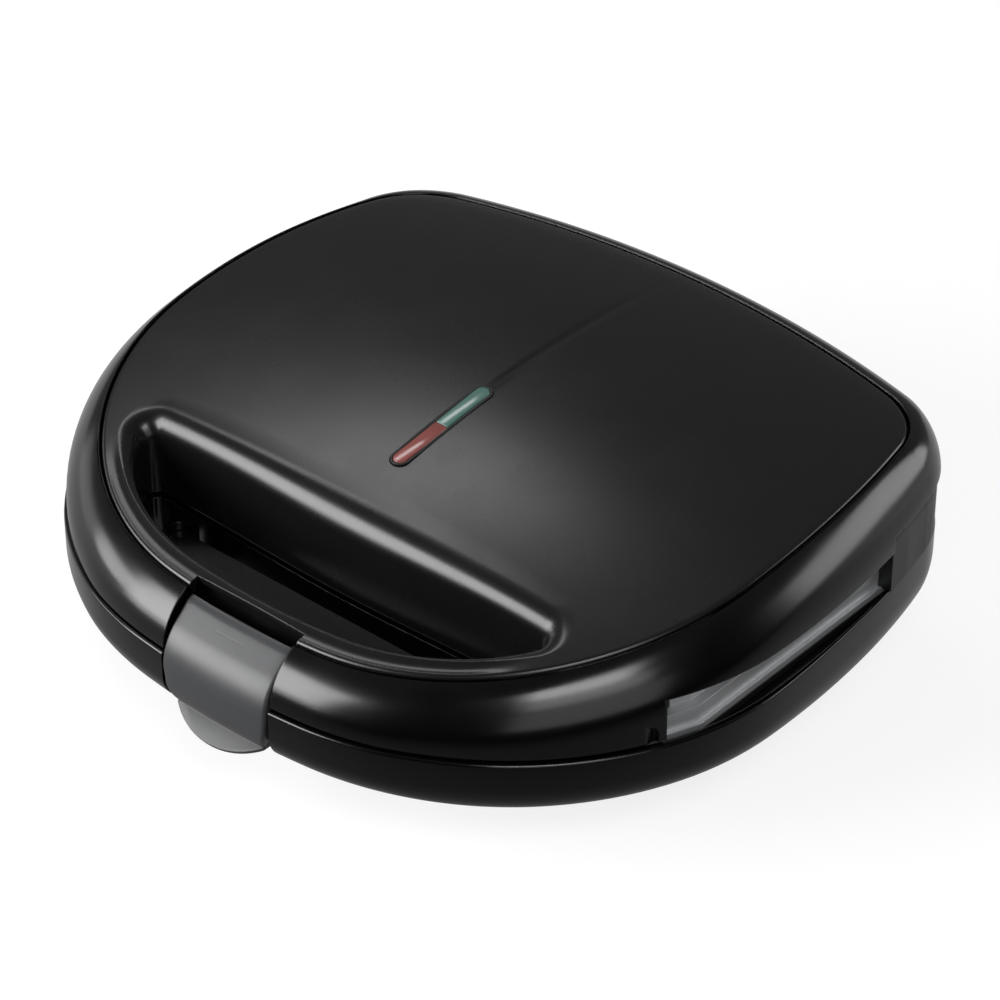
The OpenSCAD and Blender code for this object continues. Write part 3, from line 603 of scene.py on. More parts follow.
def soften(solid: Solid, width: float, segments: int = 3, angle: float = 35.0) -> Solid:
    """Round the sharp edges of a plain solid.

    Args:
        solid: What to soften.
        width: Width of the rounding.
        segments: Steps across it.
        angle: Edges over this angle are rounded, in degrees.

    Returns:
        The same solid.
    """

    def change(bm: bmesh.types.BMesh) -> None:
        """Bevel the edges over the angle.

        Args:
            bm: Mesh of the solid.
        """
        limit = math.radians(angle)
        edges = [e for e in bm.edges if len(e.link_faces) == 2 and e.calc_face_angle(0) > limit]
        bmesh.ops.bevel(bm, geom=edges, offset=width, offset_type="OFFSET", segments=segments,
                        profile=0.5, affect="EDGES", material=-1, clamp_overlap=True)

    return solid.edit(change)


def upright(diameter: float, at: Point, low: float, high: float, count: int = 48) -> Solid:
    """Upright rod.

    Args:
        diameter: Its diameter.
        at: Its middle, as x and y.
        low: Height of its foot.
        high: Height of its top.
        count: Sides of the circle.

    Returns:
        The closed solid.
    """
    return rod(diameter, Vector((*at, low)), Vector((*at, high)), count)


def capsule(length: float, width: float, count: int = 16) -> list[Vector]:
    """Outline of a slot with round ends, along Y.

    Args:
        length: Length over both ends.
        width: Width.
        count: Steps round each end.

    Returns:
        The closed outline.
    """
    reach = (length - width) / 2
    points = []
    for end in (1, -1):
        for i in range(count + 1):
            turn = math.radians(180 * i / count + (0 if end > 0 else 180))
            points.append(Vector((math.cos(turn) * width / 2,
                                  end * reach + math.sin(turn) * width / 2)))
    return points


def rounded(w: float, d: float, r: float, centre: Point = (0, 0), count: int = 8) -> list[Vector]:
    """Outline of a rectangle with round corners.

    Args:
        w: Width.
        d: Depth.
        r: Radius of the corners.
        centre: Middle of the rectangle.
        count: Steps round each corner.

    Returns:
        The closed outline.
    """
    points = []
    for k, (sx, sy) in enumerate(((1, 1), (-1, 1), (-1, -1), (1, -1))):
        for i in range(count + 1):
            turn = math.radians(90 * k + 90 * i / count)
            points.append(Vector((centre[0] + sx * (w / 2 - r) + r * math.cos(turn),
                                  centre[1] + sy * (d / 2 - r) + r * math.sin(turn))))
    return points


# ---- Finishes ----------------------------------------------------------------


def grey(value: float) -> tuple[float, float, float, float]:
    """Opaque grey."""
    return (value, value, value, 1.0)


class Graph:
    """Short hand for building a node tree."""

    def __init__(self, tree: bpy.types.NodeTree) -> None:
        """Take a tree.

        Args:
            tree: The tree that nodes are added to.
        """
        self.tree = tree

    def link(self, a: bpy.types.NodeSocket, b: bpy.types.NodeSocket) -> None:
        """Join two sockets."""
        self.tree.links.new(a, b)

    def add(self, kind: str, **inputs: Source) -> bpy.types.Node:
        """Add a node.

        Args:
            kind: Its type, without the leading ShaderNode.
            inputs: Values or sockets for its inputs, by name with _ for a space.

        Returns:
            The node.
        """
        node = self.tree.nodes.new(f"ShaderNode{kind}")
        for name, source in inputs.items():
            self.feed(node.inputs[name.replace("_", " ")], source)
        return node

    def feed(self, socket: bpy.types.NodeSocket, source: Source) -> None:
        """Give a socket a value or a link.

        Args:
            socket: The socket.
            source: A number, a colour or another node's socket.
        """
        if isinstance(source, bpy.types.NodeSocket):
            self.link(source, socket)
        else:
            socket.default_value = source

    def maths(self, how: str, *values: Source) -> bpy.types.NodeSocket:
        """Result of one operation.

        Args:
            how: Name of the operation.
            values: Numbers or sockets.

        Returns:
            The result's socket.
        """
        node = self.add("Math")
        node.operation = how
        for value, socket in zip(values, node.inputs):
            self.feed(socket, value)
        return node.outputs["Value"]

    def spread(self, source: bpy.types.NodeSocket, low: Source, high: Source,
               start: float = 0.3, end: float = 0.7) -> bpy.types.NodeSocket:
        """Map a value from one range onto another.

        Args:
            source: Socket of the value.
            low: Result at the start.
            high: Result at the end.
            start: Where the first range begins.
            end: Where it ends.

        Returns:
            The result's socket.
        """
        node = self.add("MapRange", Value=source, From_Min=start, From_Max=end,
                        To_Min=low, To_Max=high)
        return node.outputs["Result"]

    def along(self, source: bpy.types.NodeSocket, way: Point) -> bpy.types.NodeSocket:
        """How far a vector reaches along a level direction.

        Args:
            source: Socket of the vector.
            way: The direction, as x and y.

        Returns:
            The socket of the product.
        """
        node = self.add("VectorMath")
        node.operation = "DOT_PRODUCT"
        self.feed(node.inputs[0], source)
        self.feed(node.inputs[1], (*way, 0.0))
        return node.outputs["Value"]

    def mixed(self, share: bpy.types.NodeSocket, a: bpy.types.Node,
              b: bpy.types.Node) -> bpy.types.Node:
        """Shader between two others.

        Args:
            share: Share of the second.
            a: Node of the first shader.
            b: Node of the second shader.

        Returns:
            The mixing node.
        """
        node = self.add("MixShader", Fac=share)
        self.link(a.outputs[0], node.inputs[1])
        self.link(b.outputs[0], node.inputs[2])
        return node


class Finish(Graph):
    """Node tree of a material round one Principled shader."""

    def __init__(self, name: str, **sockets: float) -> None:
        """Start a material.

        Args:
            name: Name of the material.
            sockets: Values of the shader's own sockets, by name with _ for a space.
        """
        self.material = bpy.data.materials.new(name)
        self.material.use_nodes = True
        super().__init__(self.material.node_tree)
        self.shader = self.tree.nodes["Principled BSDF"]
        self.place = self.add("TexCoord").outputs["Object"]
        self.set(**sockets)

    def noise(self, scale: float, detail: float = 3.0,
              stretch: Point | None = None) -> bpy.types.NodeSocket:
        """Noise on Object coordinates.

        Args:
            scale: Noise scale, in cells to the metre.
            detail: Octaves.
            stretch: Factors on X and Y, for brushed finishes.

        Returns:
            The factor socket.
        """
        source = self.place
        if stretch:
            source = self.add("Mapping", Scale=(*stretch, 1.0), Vector=source).outputs["Vector"]
        return self.add("TexNoise", Scale=scale, Detail=detail, Vector=source).outputs["Fac"]

    def tint(self, source: bpy.types.NodeSocket, a: Colour, b: Colour) -> None:
        """Mix the base colour.

        Args:
            source: Socket of the second colour's share.
            a: First colour.
            b: Second colour.
        """
        node = self.add("Mix")
        node.data_type = "RGBA"
        node.inputs["A"].default_value = (*a, 1.0)
        node.inputs["B"].default_value = (*b, 1.0)
        self.link(source, node.inputs["Factor"])
        self.link(node.outputs["Result"], self.shader.inputs["Base Color"])

    def bump(self, source: bpy.types.NodeSocket, strength: float, depth: float,
             edge: float = 0.0) -> None:
        """Raise the surface.

        Args:
            source: Socket of the height.
            strength: Share of the full effect.
            depth: Height of the full effect, in metres.
            edge: Radius that edges are shaded round by, in metres.
        """
        node = self.add("Bump", Strength=strength, Distance=depth, Height=source)
        if edge:
            round_edge = self.add("Bevel", Radius=edge)
            round_edge.samples = 6
            self.link(round_edge.outputs["Normal"], node.inputs["Normal"])
        self.set(Normal=node.outputs["Normal"])

    def set(self, **sockets: Source) -> None:
        """Set the shader's sockets by name, with _ for a space."""
        for name, source in sockets.items():
            self.feed(self.shader.inputs[name.replace("_", " ")], source)


@dataclass(frozen=True)
class Plastic:
    """Moulded plastic: a dark body under a smooth or grained skin."""

    name: str
    colour: Colour
    roughness: float
    swing: float = 0.02
    grain: float = 900.0
    height: float = 0.0
    edge: float = 0.00035

    def material(self) -> bpy.types.Material:
        """Build the node tree.

        Returns:
            The material.
        """
        made = Finish(self.name)
        pale = tuple(min(1.0, c * 1.12) for c in self.colour)
        made.tint(made.noise(14.0, 2.0), self.colour, pale)
        low, high = self.roughness - self.swing, self.roughness + self.swing
        made.set(Roughness=made.spread(made.noise(60.0), low, high))
        made.bump(made.noise(self.grain, 4.0), 0.25 if self.height else 0.02,
                  self.height or 0.00002, self.edge)
        return made.material


@dataclass(frozen=True)
class Metal:
    """Metal with a brushed, rolled or turned skin."""

    name: str
    colour: Colour
    roughness: float
    stretch: Point = (1.0, 20.0)
    edge: float = 0.0002

    def material(self) -> bpy.types.Material:
        """Build the node tree.

        Returns:
            The material.
        """
        made = Finish(self.name, Metallic=1.0)
        lines = made.noise(400.0, 3.0, self.stretch)
        worn = tuple(c * 0.8 for c in self.colour)
        made.tint(made.noise(30.0), worn, self.colour)
        made.set(Roughness=made.spread(lines, self.roughness * 0.8, self.roughness * 1.25))
        made.bump(lines, 0.1, 0.00005, self.edge)
        return made.material


@dataclass(frozen=True)
class Coated:
    """Die-cast cooking plate: a black non-stick coat inside a bare edge."""

    name: str
    node: str
    coat: Colour = (0.006, 0.006, 0.006)
    bare: Colour = (0.55, 0.56, 0.57)
    roughness: float = 0.40
    metallic: float = 0.7
    edge: float = 0.0065

    def material(self) -> bpy.types.Material:
        """Build the node tree.

        Returns:
            The material.
        """
        made = Finish(self.name)
        split = made.add("SeparateXYZ", Vector=made.place)
        past = []
        for axis, low, high in zip("XY", *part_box(self.node)):
            reach = made.maths("SUBTRACT", split.outputs[axis], (low + high) / 2)
            off = made.maths("ABSOLUTE", reach)
            past.append(made.maths("SUBTRACT", off, (high - low) / 2 - self.edge))
        bare = made.spread(made.maths("MAXIMUM", *past), 0.0, 1.0, -0.0001, 0.0001)
        made.tint(bare, self.coat, self.bare)
        made.set(Metallic=made.maths("MULTIPLY", bare, self.metallic))
        low, high = self.roughness * 0.9, self.roughness * 1.15
        made.set(Roughness=made.spread(made.noise(120.0), low, high))
        made.bump(made.noise(900.0, 4.0), 0.2, 0.00003, 0.0002)
        return made.material


@dataclass(frozen=True)
class Lens:
    """Tinted clear plastic over a dark chamber."""

    name: str
    colour: Colour

    def material(self) -> bpy.types.Material:
        """Build the node tree.

        Returns:
            The material.
        """
        made = Finish(self.name, Roughness=0.18, Coat_Weight=0.4, Coat_Roughness=0.08)
        dark = tuple(c * 0.72 for c in self.colour)
        made.tint(made.noise(180.0, 2.0), dark, self.colour)
        made.bump(made.noise(900.0), 0.05, 0.00005, 0.0003)
        return made.material


@dataclass
class Looks:
    """Every finish of the toaster."""

    cover: Plastic = Plastic("cover black", (0.0036, 0.0037, 0.0039), 0.27, 0.015)
    ring: Plastic = Plastic("ring black", (0.0012, 0.0013, 0.0014), 0.20, 0.02, edge=0.0006)
    base: Plastic = Plastic("base black", (0.0010, 0.0011, 0.0012), 0.17, 0.02)
    inner: Plastic = Plastic("inner black", (0.0025, 0.0025, 0.0028), 0.42, 0.05, 1400.0, 0.00006)
    latch: Plastic = Plastic("latch grey", (0.038, 0.039, 0.041), 0.38, 0.03, 2600.0, 0.00005)
    lens_red: Lens = Lens("red lens", (0.260, 0.070, 0.060))
    lens_green: Lens = Lens("green lens", (0.075, 0.165, 0.140))
    lamp: Lens = Lens("lamp glass", (0.55, 0.28, 0.15))
    plate: Coated = Coated("coated plate", "upper_plate")
    # Black for the lower plate all over: the real coat on its face, and painted shade on its sides,
    # where the upper plate shows bare metal.
    nonstick_and_shade: Plastic = Plastic("black non-stick", (0.006, 0.006, 0.006), 0.40, 0.04, 900.0,
                                0.00003)
    ceramic: Plastic = Plastic("ceramic", (0.72, 0.70, 0.62), 0.45, 0.05, 900.0, 0.00003)
    rubber: Plastic = Plastic("foot rubber", (0.012, 0.012, 0.012), 0.62, 0.06, 2200.0, 0.00008)
    tube: Metal = Metal("heating tube", (0.28, 0.26, 0.25), 0.42)
    sheet: Metal = Metal("reflector sheet", (0.80, 0.81, 0.82), 0.30)
    zinc: Metal = Metal("zinc steel", (0.62, 0.63, 0.65), 0.28)
    # Zinc darkened so the grip screw heads read dark in their wells: painted shade.
    well_shade_zinc: Metal = Metal("zinc darkened as well shade", (0.05, 0.05, 0.052), 0.35)
    made: dict[str, bpy.types.Material] = field(default_factory=dict)

    def get(self, name: str) -> bpy.types.Material:
        """Material of a finish, made once.

        Args:
            name: Name of its field.

        Returns:
            The material.
        """
        if name not in self.made:
            self.made[name] = getattr(self, name).material()
        return self.made[name]


# ---- Sub-assemblies -----------------------------------------------------------


@dataclass
class Shared:
    """Sizes that lid, base and latch have in common, in millimetres."""

    plan: Plan = Plan()
    wall: float = 2.4
    step: float = 0.8
    run: float = 0.4
    seat: float = 0.15
    pin: float = 0.08
    seam_gap: float = 0.8
    shoulder_r: float = 16.0
    shoulder_tilt: float = 48.0
    latch_w: float = 35.0
    notch_gap: float = 1.5
    notch_back: float = 4.4
    knuckle_r: float = 3.79
    knuckle_mid: float = 10.0
    knuckle_lid: float = 11.0
    knuckle_end: float = 8.0
    hinge_up: float = 15.0
    hinge_back: float = 0.5
    web_up: float = 5.0
    web_down: float = 8.0
    hinge_pin: float = 4.0
    latch_pin: float = 3.0
    ear_h: float = 16.5
    vent_front: float = 44.6
    vent_back: float = 43.5
    vent_h: float = 12.7
    latch_y: float = -92.5
    latch_up: float = 6.0
    rim_gap: float = 0.4
    hook_low: float = 16.0
    hook_t: float = 2.4
    latch_proud: float = 0.6
    latch_t: float = 3.0

    @property
    def notch_half(self) -> float:
        """Half width of the notch for the latch."""
        return self.latch_w / 2 + self.notch_gap

    @property
    def hinge(self) -> Vector:
        """Axis of the lid, at x = 0."""
        return Vector((0, self.plan.back + self.hinge_back, self.plan.parting + self.hinge_up))

    @property
    def latch_axis(self) -> Vector:
        """Axis of the latch, at x = 0."""
        return Vector((0, self.latch_y, self.plan.parting + self.latch_up))

    @property
    def lid_spans(self) -> list[Point]:
        """Where the knuckles of the lid lie."""
        start = self.knuckle_mid + self.run
        return [(-start - self.knuckle_lid, -start), (start, start + self.knuckle_lid)]

    @property
    def base_spans(self) -> list[Point]:
        """Where the knuckles of the base lie.

        Returns:
            Lowest and highest x of each.
        """
        start = self.knuckle_mid + self.knuckle_lid + 2 * self.run
        end = start + self.knuckle_end
        return [(-end, -start), (-self.knuckle_mid, self.knuckle_mid), (start, end)]

    def notch(self) -> Solid:
        """Room for the latch in the nose of the lid.

        Returns:
            The block to take away.
        """
        p = self.plan
        return box((-self.notch_half, self.notch_half),
                   (-p.front - 5, -p.front + p.seam_front + self.notch_back),
                   (p.parting - 5, p.parting + p.crown_h))

    def knuckles(self, spans: Sequence[Point], up: bool) -> list[Solid]:
        """Knuckles with the webs that carry them.

        Args:
            spans: Where they lie along the pin.
            up: Whether the webs rise, as on the lid.

        Returns:
            The solids.
        """
        h, r = self.hinge, self.knuckle_r
        z = (h.z, h.z + self.web_up) if up else (h.z - self.web_down, h.z)
        made = [x_rod(2 * r, *s, h.y, h.z) for s in spans]
        return made + [box(s, (h.y - r, h.y), z) for s in spans]

    def knuckle_room(self, spans: Sequence[Point]) -> list[Solid]:
        """Room for the knuckles of the other half.

        Args:
            spans: Where they lie along the pin.

        Returns:
            The rods to take away.
        """
        h = self.hinge
        return [x_rod(2 * (self.knuckle_r + self.run), a - self.run, b + self.run, h.y, h.z)
                for a, b in spans]

    def side_span(self, side: int, inset: float) -> Point:
        """Stretch of x from inside one side to past it.

        Args:
            side: 1 for +X, -1 for -X.
            inset: How far inside it starts.

        Returns:
            Lowest and highest x.
        """
        half = self.plan.width / 2
        low, high = sorted((side * (half - inset), side * (half + 5)))
        return low, high

    def hinge_bore(self) -> Solid:
        """Bore of the hinge pin."""
        h = self.hinge
        return x_rod(self.hinge_pin + 2 * self.pin, -60, 60, h.y, h.z)


@dataclass
class Lid:
    """Cover, ring and indicator bar."""

    shared: Shared
    looks: Looks
    skirt: float = 4.0
    edge: float = 1.0
    valley: float = 0.45
    valley_run: int = 12
    edge_rings: int = 5
    dome_rings: int = 26
    rim_rings: int = 12
    under_rings: int = 6
    shoulder_rings: int = 36
    inner_rings: int = 8
    draw: tuple[float, float, float] = (1.4, 2.6, 11.0)
    crease: Point = (9.0, 82.0)
    crease_cuts: tuple[float, ...] = (-3.6, -2.6, -1.8, -1.2, -0.6, 0.6, 1.2, 1.8, 2.6, 3.6)
    crease_start: float = 4.0
    crease_rise: float = 6.0
    crease_fade: float = 60.0
    crease_soft: float = 1.4
    crease_depth: float = 0.35
    lamp_l: float = 37.0
    lamp_w: float = 4.2
    lamp_y: float = 13.0
    lamp_frame: float = 0.8
    lens_deep: float = 3.0
    lens_up: float = 0.3
    lens_play: float = 0.06
    frame_deep: float = 7.0
    frame_up: float = 0.05
    flange: Point = (-8.0, -3.8)
    over: float = 60.0
    over_rear: float = 23.0
    rear_from: float = 45.0
    rear_run: float = 40.0
    well_low: float = 0.8
    port_d: float = 5.4
    port_ahead: float = 4.6
    lug: float = 3.5

    def cover_rings(self) -> list[Ring]:
        """Rings of the cover from its skirt over the dome and rim to its inside.

        Returns:
            Rings of equal length, the last of which meets the first.
        """
        p, g, w = self.shared.plan, self.shared.seam_gap / 2, self.shared.wall
        crest, edge = p.grip(0, 0), p.seam(g + self.edge)
        radii = p.rim_radii + p.rim_radii[-2:0:-1]
        rings = [p.lift(p.seam(g), self.skirt)]
        for i in range(self.edge_rings + 1):
            turn = math.radians(90 * i / self.edge_rings)
            rings.append(p.lift(p.seam(g + self.edge * (1 - math.cos(turn))),
                                self.edge * (1 - math.sin(turn))))
        n = p.steps
        hollow = [1.0] * n.nose + [smooth((n.lip - i) / self.valley_run) for i in range(n.lip)]
        hollow += [0.0] * (n.corner + n.line + 1)
        hollow += hollow[-2:0:-1]
        for j in range(1, self.dome_rings + 1):
            share = j / self.dome_rings
            ring = p.lift(between(edge, crest, share), 0)
            for q, weight in zip(ring, hollow):
                q.z -= self.valley * weight * math.sin(math.pi * share)
            rings.append(ring)
        for j in range(1, self.rim_rings + 1):
            turn = math.radians(90 * j / self.rim_rings)
            ring = p.grip(math.sin(turn), 0)
            rings.append([Vector((q.x, q.y, p.crown(c) - r * (1 - math.cos(turn))))
                          for q, c, r in zip(ring, crest, radii)])
        floor = p.parting + self.well_low
        hidden, inner = p.grip(1, -w), p.seam(g + w)
        rings += [level(p.grip(1, 0), floor), level(hidden, floor), p.lift(hidden, w)]
        under = self.under_rings
        rings += [p.lift(between(hidden, inner, j / under), w) for j in range(1, under + 1)]
        return rings + [p.lift(inner, self.skirt)]

    def at_lamp(self) -> Matrix:
        """Place on the crown at the middle of the indicator bar.

        Returns:
            Matrix that stands a piece there.
        """
        p = self.shared.plan
        tilt = math.atan((p.crown_y + self.lamp_y) / p.crown_ry)
        z = p.crown(Vector((0, -self.lamp_y)))
        return Matrix.Translation((0, -self.lamp_y, z)) @ Matrix.Rotation(tilt, 4, "X")

    def press_crease(self, bm: bmesh.types.BMesh) -> None:
        """Press the moulding crease into the dome, along the middle line.

        Args:
            bm: Mesh of the cover.
        """
        p = self.shared.plan
        start, end = self.crease[0] - self.crease_start, self.crease[1] + self.crease_start
        for x in self.crease_cuts:
            faces = [f for f in bm.faces if f.calc_center_median().y > 0]
            near = {v for f in faces for v in f.verts}
            verts = [v for v in bm.verts if v in near]
            edges = [e for e in bm.edges if near.issuperset(e.verts)]
            bmesh.ops.bisect_plane(bm, geom=[*verts, *edges, *faces], dist=1e-5,
                                   plane_co=(x, 0, 0), plane_no=(1, 0, 0))
        half, skin = self.crease_cuts[-1], 0.4
        for v in bm.verts:
            x, y = v.co.x, v.co.y
            if abs(x) < half and start < y < end and v.co.z > p.crown(v.co) - skin:
                along = smooth((y - start) / self.crease_rise)
                along *= smooth((end - y) / self.crease_fade)
                v.co.z -= self.crease_depth * along * math.exp(-((x / self.crease_soft) ** 2))

    def cover(self) -> None:
        """Domed cover with the finger opening."""
        shell = loft(self.cover_rings(), closed=True)
        shell.edit(self.press_crease)
        more = 2 * (self.lamp_frame + self.shared.seat)
        slot = capsule(self.lamp_l + more, self.lamp_w + more)
        shell.cut(prism(slot, -7, 5).turn(self.at_lamp()), self.shared.notch())
        shell.finish("cover_shell", Body.LID, "cover_black", self.looks.get("cover"), "top_cover")

    def shoulder(self, off: float, t: float) -> Ring:
        """Ring of the shoulder, whose two arcs meet without a kink.

        Args:
            off: Depth inside its skin.
            t: Share of its turn, from the seam to the skirt.

        Returns:
            The closed ring.
        """
        s, p = self.shared, self.shared.plan
        low_z, tight = p.parting + s.rim_gap, s.shoulder_r
        joint = math.radians(2 * s.shoulder_tilt - self.over)
        edge = p.seam(-s.seam_gap / 2)
        reach = s.step + tight * (1 - math.cos(joint))
        ring = []
        for a, b, e in zip(p.outline(0), p.outline(1), edge):
            inward = b - a
            rear = smooth((a.y - self.rear_from) / self.rear_run)
            start = math.radians(self.over + self.over_rear * rear)
            wide = (e - (a + inward * reach)).length / (math.cos(joint) - math.cos(start))
            z1 = p.crown(e) - wide * (math.sin(start) - math.sin(joint))
            zc = z1 - tight * math.sin(joint)
            low = math.asin(max(0.0, (low_z + 0.5 - zc) / (tight - off)))
            turn = start + (low - start) * t
            if turn > joint:
                middle, r = reach + wide * math.cos(joint), wide - off
                height = z1 - wide * math.sin(joint)
            else:
                middle, height, r = s.step + tight, zc, tight - off
            q = a + inward * (middle - r * math.cos(turn))
            ring.append(Vector((q.x, q.y, height + r * math.sin(turn))))
        return ring

    def ring_rings(self) -> list[Ring]:
        """Rings of the shoulder ring, from its skirt up and over to its inside.

        Returns:
            Rings of equal length, the last of which meets the first.
        """
        s, p = self.shared, self.shared.plan
        g, w, low_z = s.seam_gap / 2, s.wall, p.parting + s.rim_gap
        drop = self.skirt + s.seat
        outer, inner = self.shoulder(0, 1), self.shoulder(w, 1)
        rings = [level(outer, low_z + 0.25)]
        n = self.shoulder_rings
        rings += [self.shoulder(0, j / n) for j in range(n, -1, -1)]
        rings += [p.lift(p.seam(-g - 0.4), 0.12), p.lift(p.seam(-g - 0.12), 0.16),
                  p.lift(p.seam(-g), 0.5), p.lift(p.seam(-g), drop)]
        rings += [p.lift(p.seam(3), drop), p.lift(p.seam(3), drop + 2)]
        rings += [self.shoulder(w, j / self.inner_rings) for j in range(self.inner_rings + 1)]
        return rings + [level(inner, low_z), level(between(outer, inner, 0.12), low_z)]

    def ring(self) -> None:
        """Shoulder ring with its skirt, hinge knuckles and latch lugs."""
        s, p = self.shared, self.shared.plan
        shell = loft(self.ring_rings(), closed=True)
        shell.cut(s.notch())
        low = p.parting - 5
        for side in (1, -1):
            shell.cut(box(s.side_span(side, 20), (-s.vent_front, s.vent_back + 0.01),
                          (low, p.parting + s.vent_h)))
        shell.cut(box((-p.width, p.width), (s.vent_back, p.back + 10),
                      (low, p.parting + s.ear_h + 2 * s.run)))
        shell.edit(p.draw_in(*self.draw))
        shell.cut(*s.knuckle_room(s.base_spans)).join(*s.knuckles(s.lid_spans, up=True))
        self.cut_ports(shell)
        self.add_lugs(shell)
        shell.finish("shoulder_ring", Body.LID, "body_black", self.looks.get("ring"), "upper_ring")

    def cut_ports(self, shell: Solid) -> None:
        """Cut the small port ahead of each side opening.

        Args:
            shell: The ring.
        """
        s, r = self.shared, self.port_d / 2
        y, z = -s.vent_front - self.port_ahead, s.plan.parting + s.rim_gap + r
        for side in (1, -1):
            x = s.side_span(side, 14)
            shell.cut(x_rod(self.port_d, *x, y, z), box(x, (y - r, y + r), (z - r - 3, z)))

    def add_lugs(self, shell: Solid) -> None:
        """Add the two lugs that hold the latch pin, and bore for both pins.

        Args:
            shell: The ring.
        """
        s, lug, axis = self.shared, self.lug, self.shared.latch_axis
        for side in (1, -1):
            mid = side * (s.notch_half + lug / 2)
            x, low = (mid - lug / 2, mid + lug / 2), axis.z - lug
            shell.join(box(x, (axis.y - 4.5, axis.y + 3), (low, axis.z + 1.8)),
                       box(x, (s.wall + s.step - s.plan.front, axis.y), (low, axis.z - 0.5)))
        reach = s.notch_half + lug + 1
        shell.cut(s.hinge_bore(), x_rod(s.latch_pin + 2 * s.pin, -reach, reach, axis.y, axis.z))

    def indicator(self) -> None:
        """Two lenses end to end in their frame."""
        place = self.at_lamp()
        for name, side in (("lens_red", -1), ("lens_green", 1)):
            half = prism(capsule(self.lamp_l, self.lamp_w, 20), -self.lens_deep, self.lens_up)
            y = sorted((side * self.lens_play, side * self.lamp_l))
            half.keep(box((-9, 9), (y[0], y[1]), (-9, 9)))
            soften(half, 0.35, 3)
            half.turn(place).finish(f"{name}_cap", Body.LID, name, self.looks.get(name), name)
        outer, inner = self.lamp_w + 2 * self.lamp_frame, self.lamp_w + 2 * self.shared.seat
        frame_solid = prism(capsule(self.lamp_l + 2 * self.lamp_frame, outer),
                            -self.frame_deep, self.frame_up)
        frame_solid.join(prism(capsule(self.lamp_l + 6, outer + 4), *self.flange))
        frame_solid.cut(prism(capsule(self.lamp_l + 2 * self.shared.seat, inner), -9, 5))
        frame_solid.turn(place).finish("indicator_frame", Body.LID, "inner_black",
                                       self.looks.get("inner"), "lens_holder")

    def build(self) -> None:
        """Make every piece."""
        self.cover()
        self.ring()
        self.indicator()


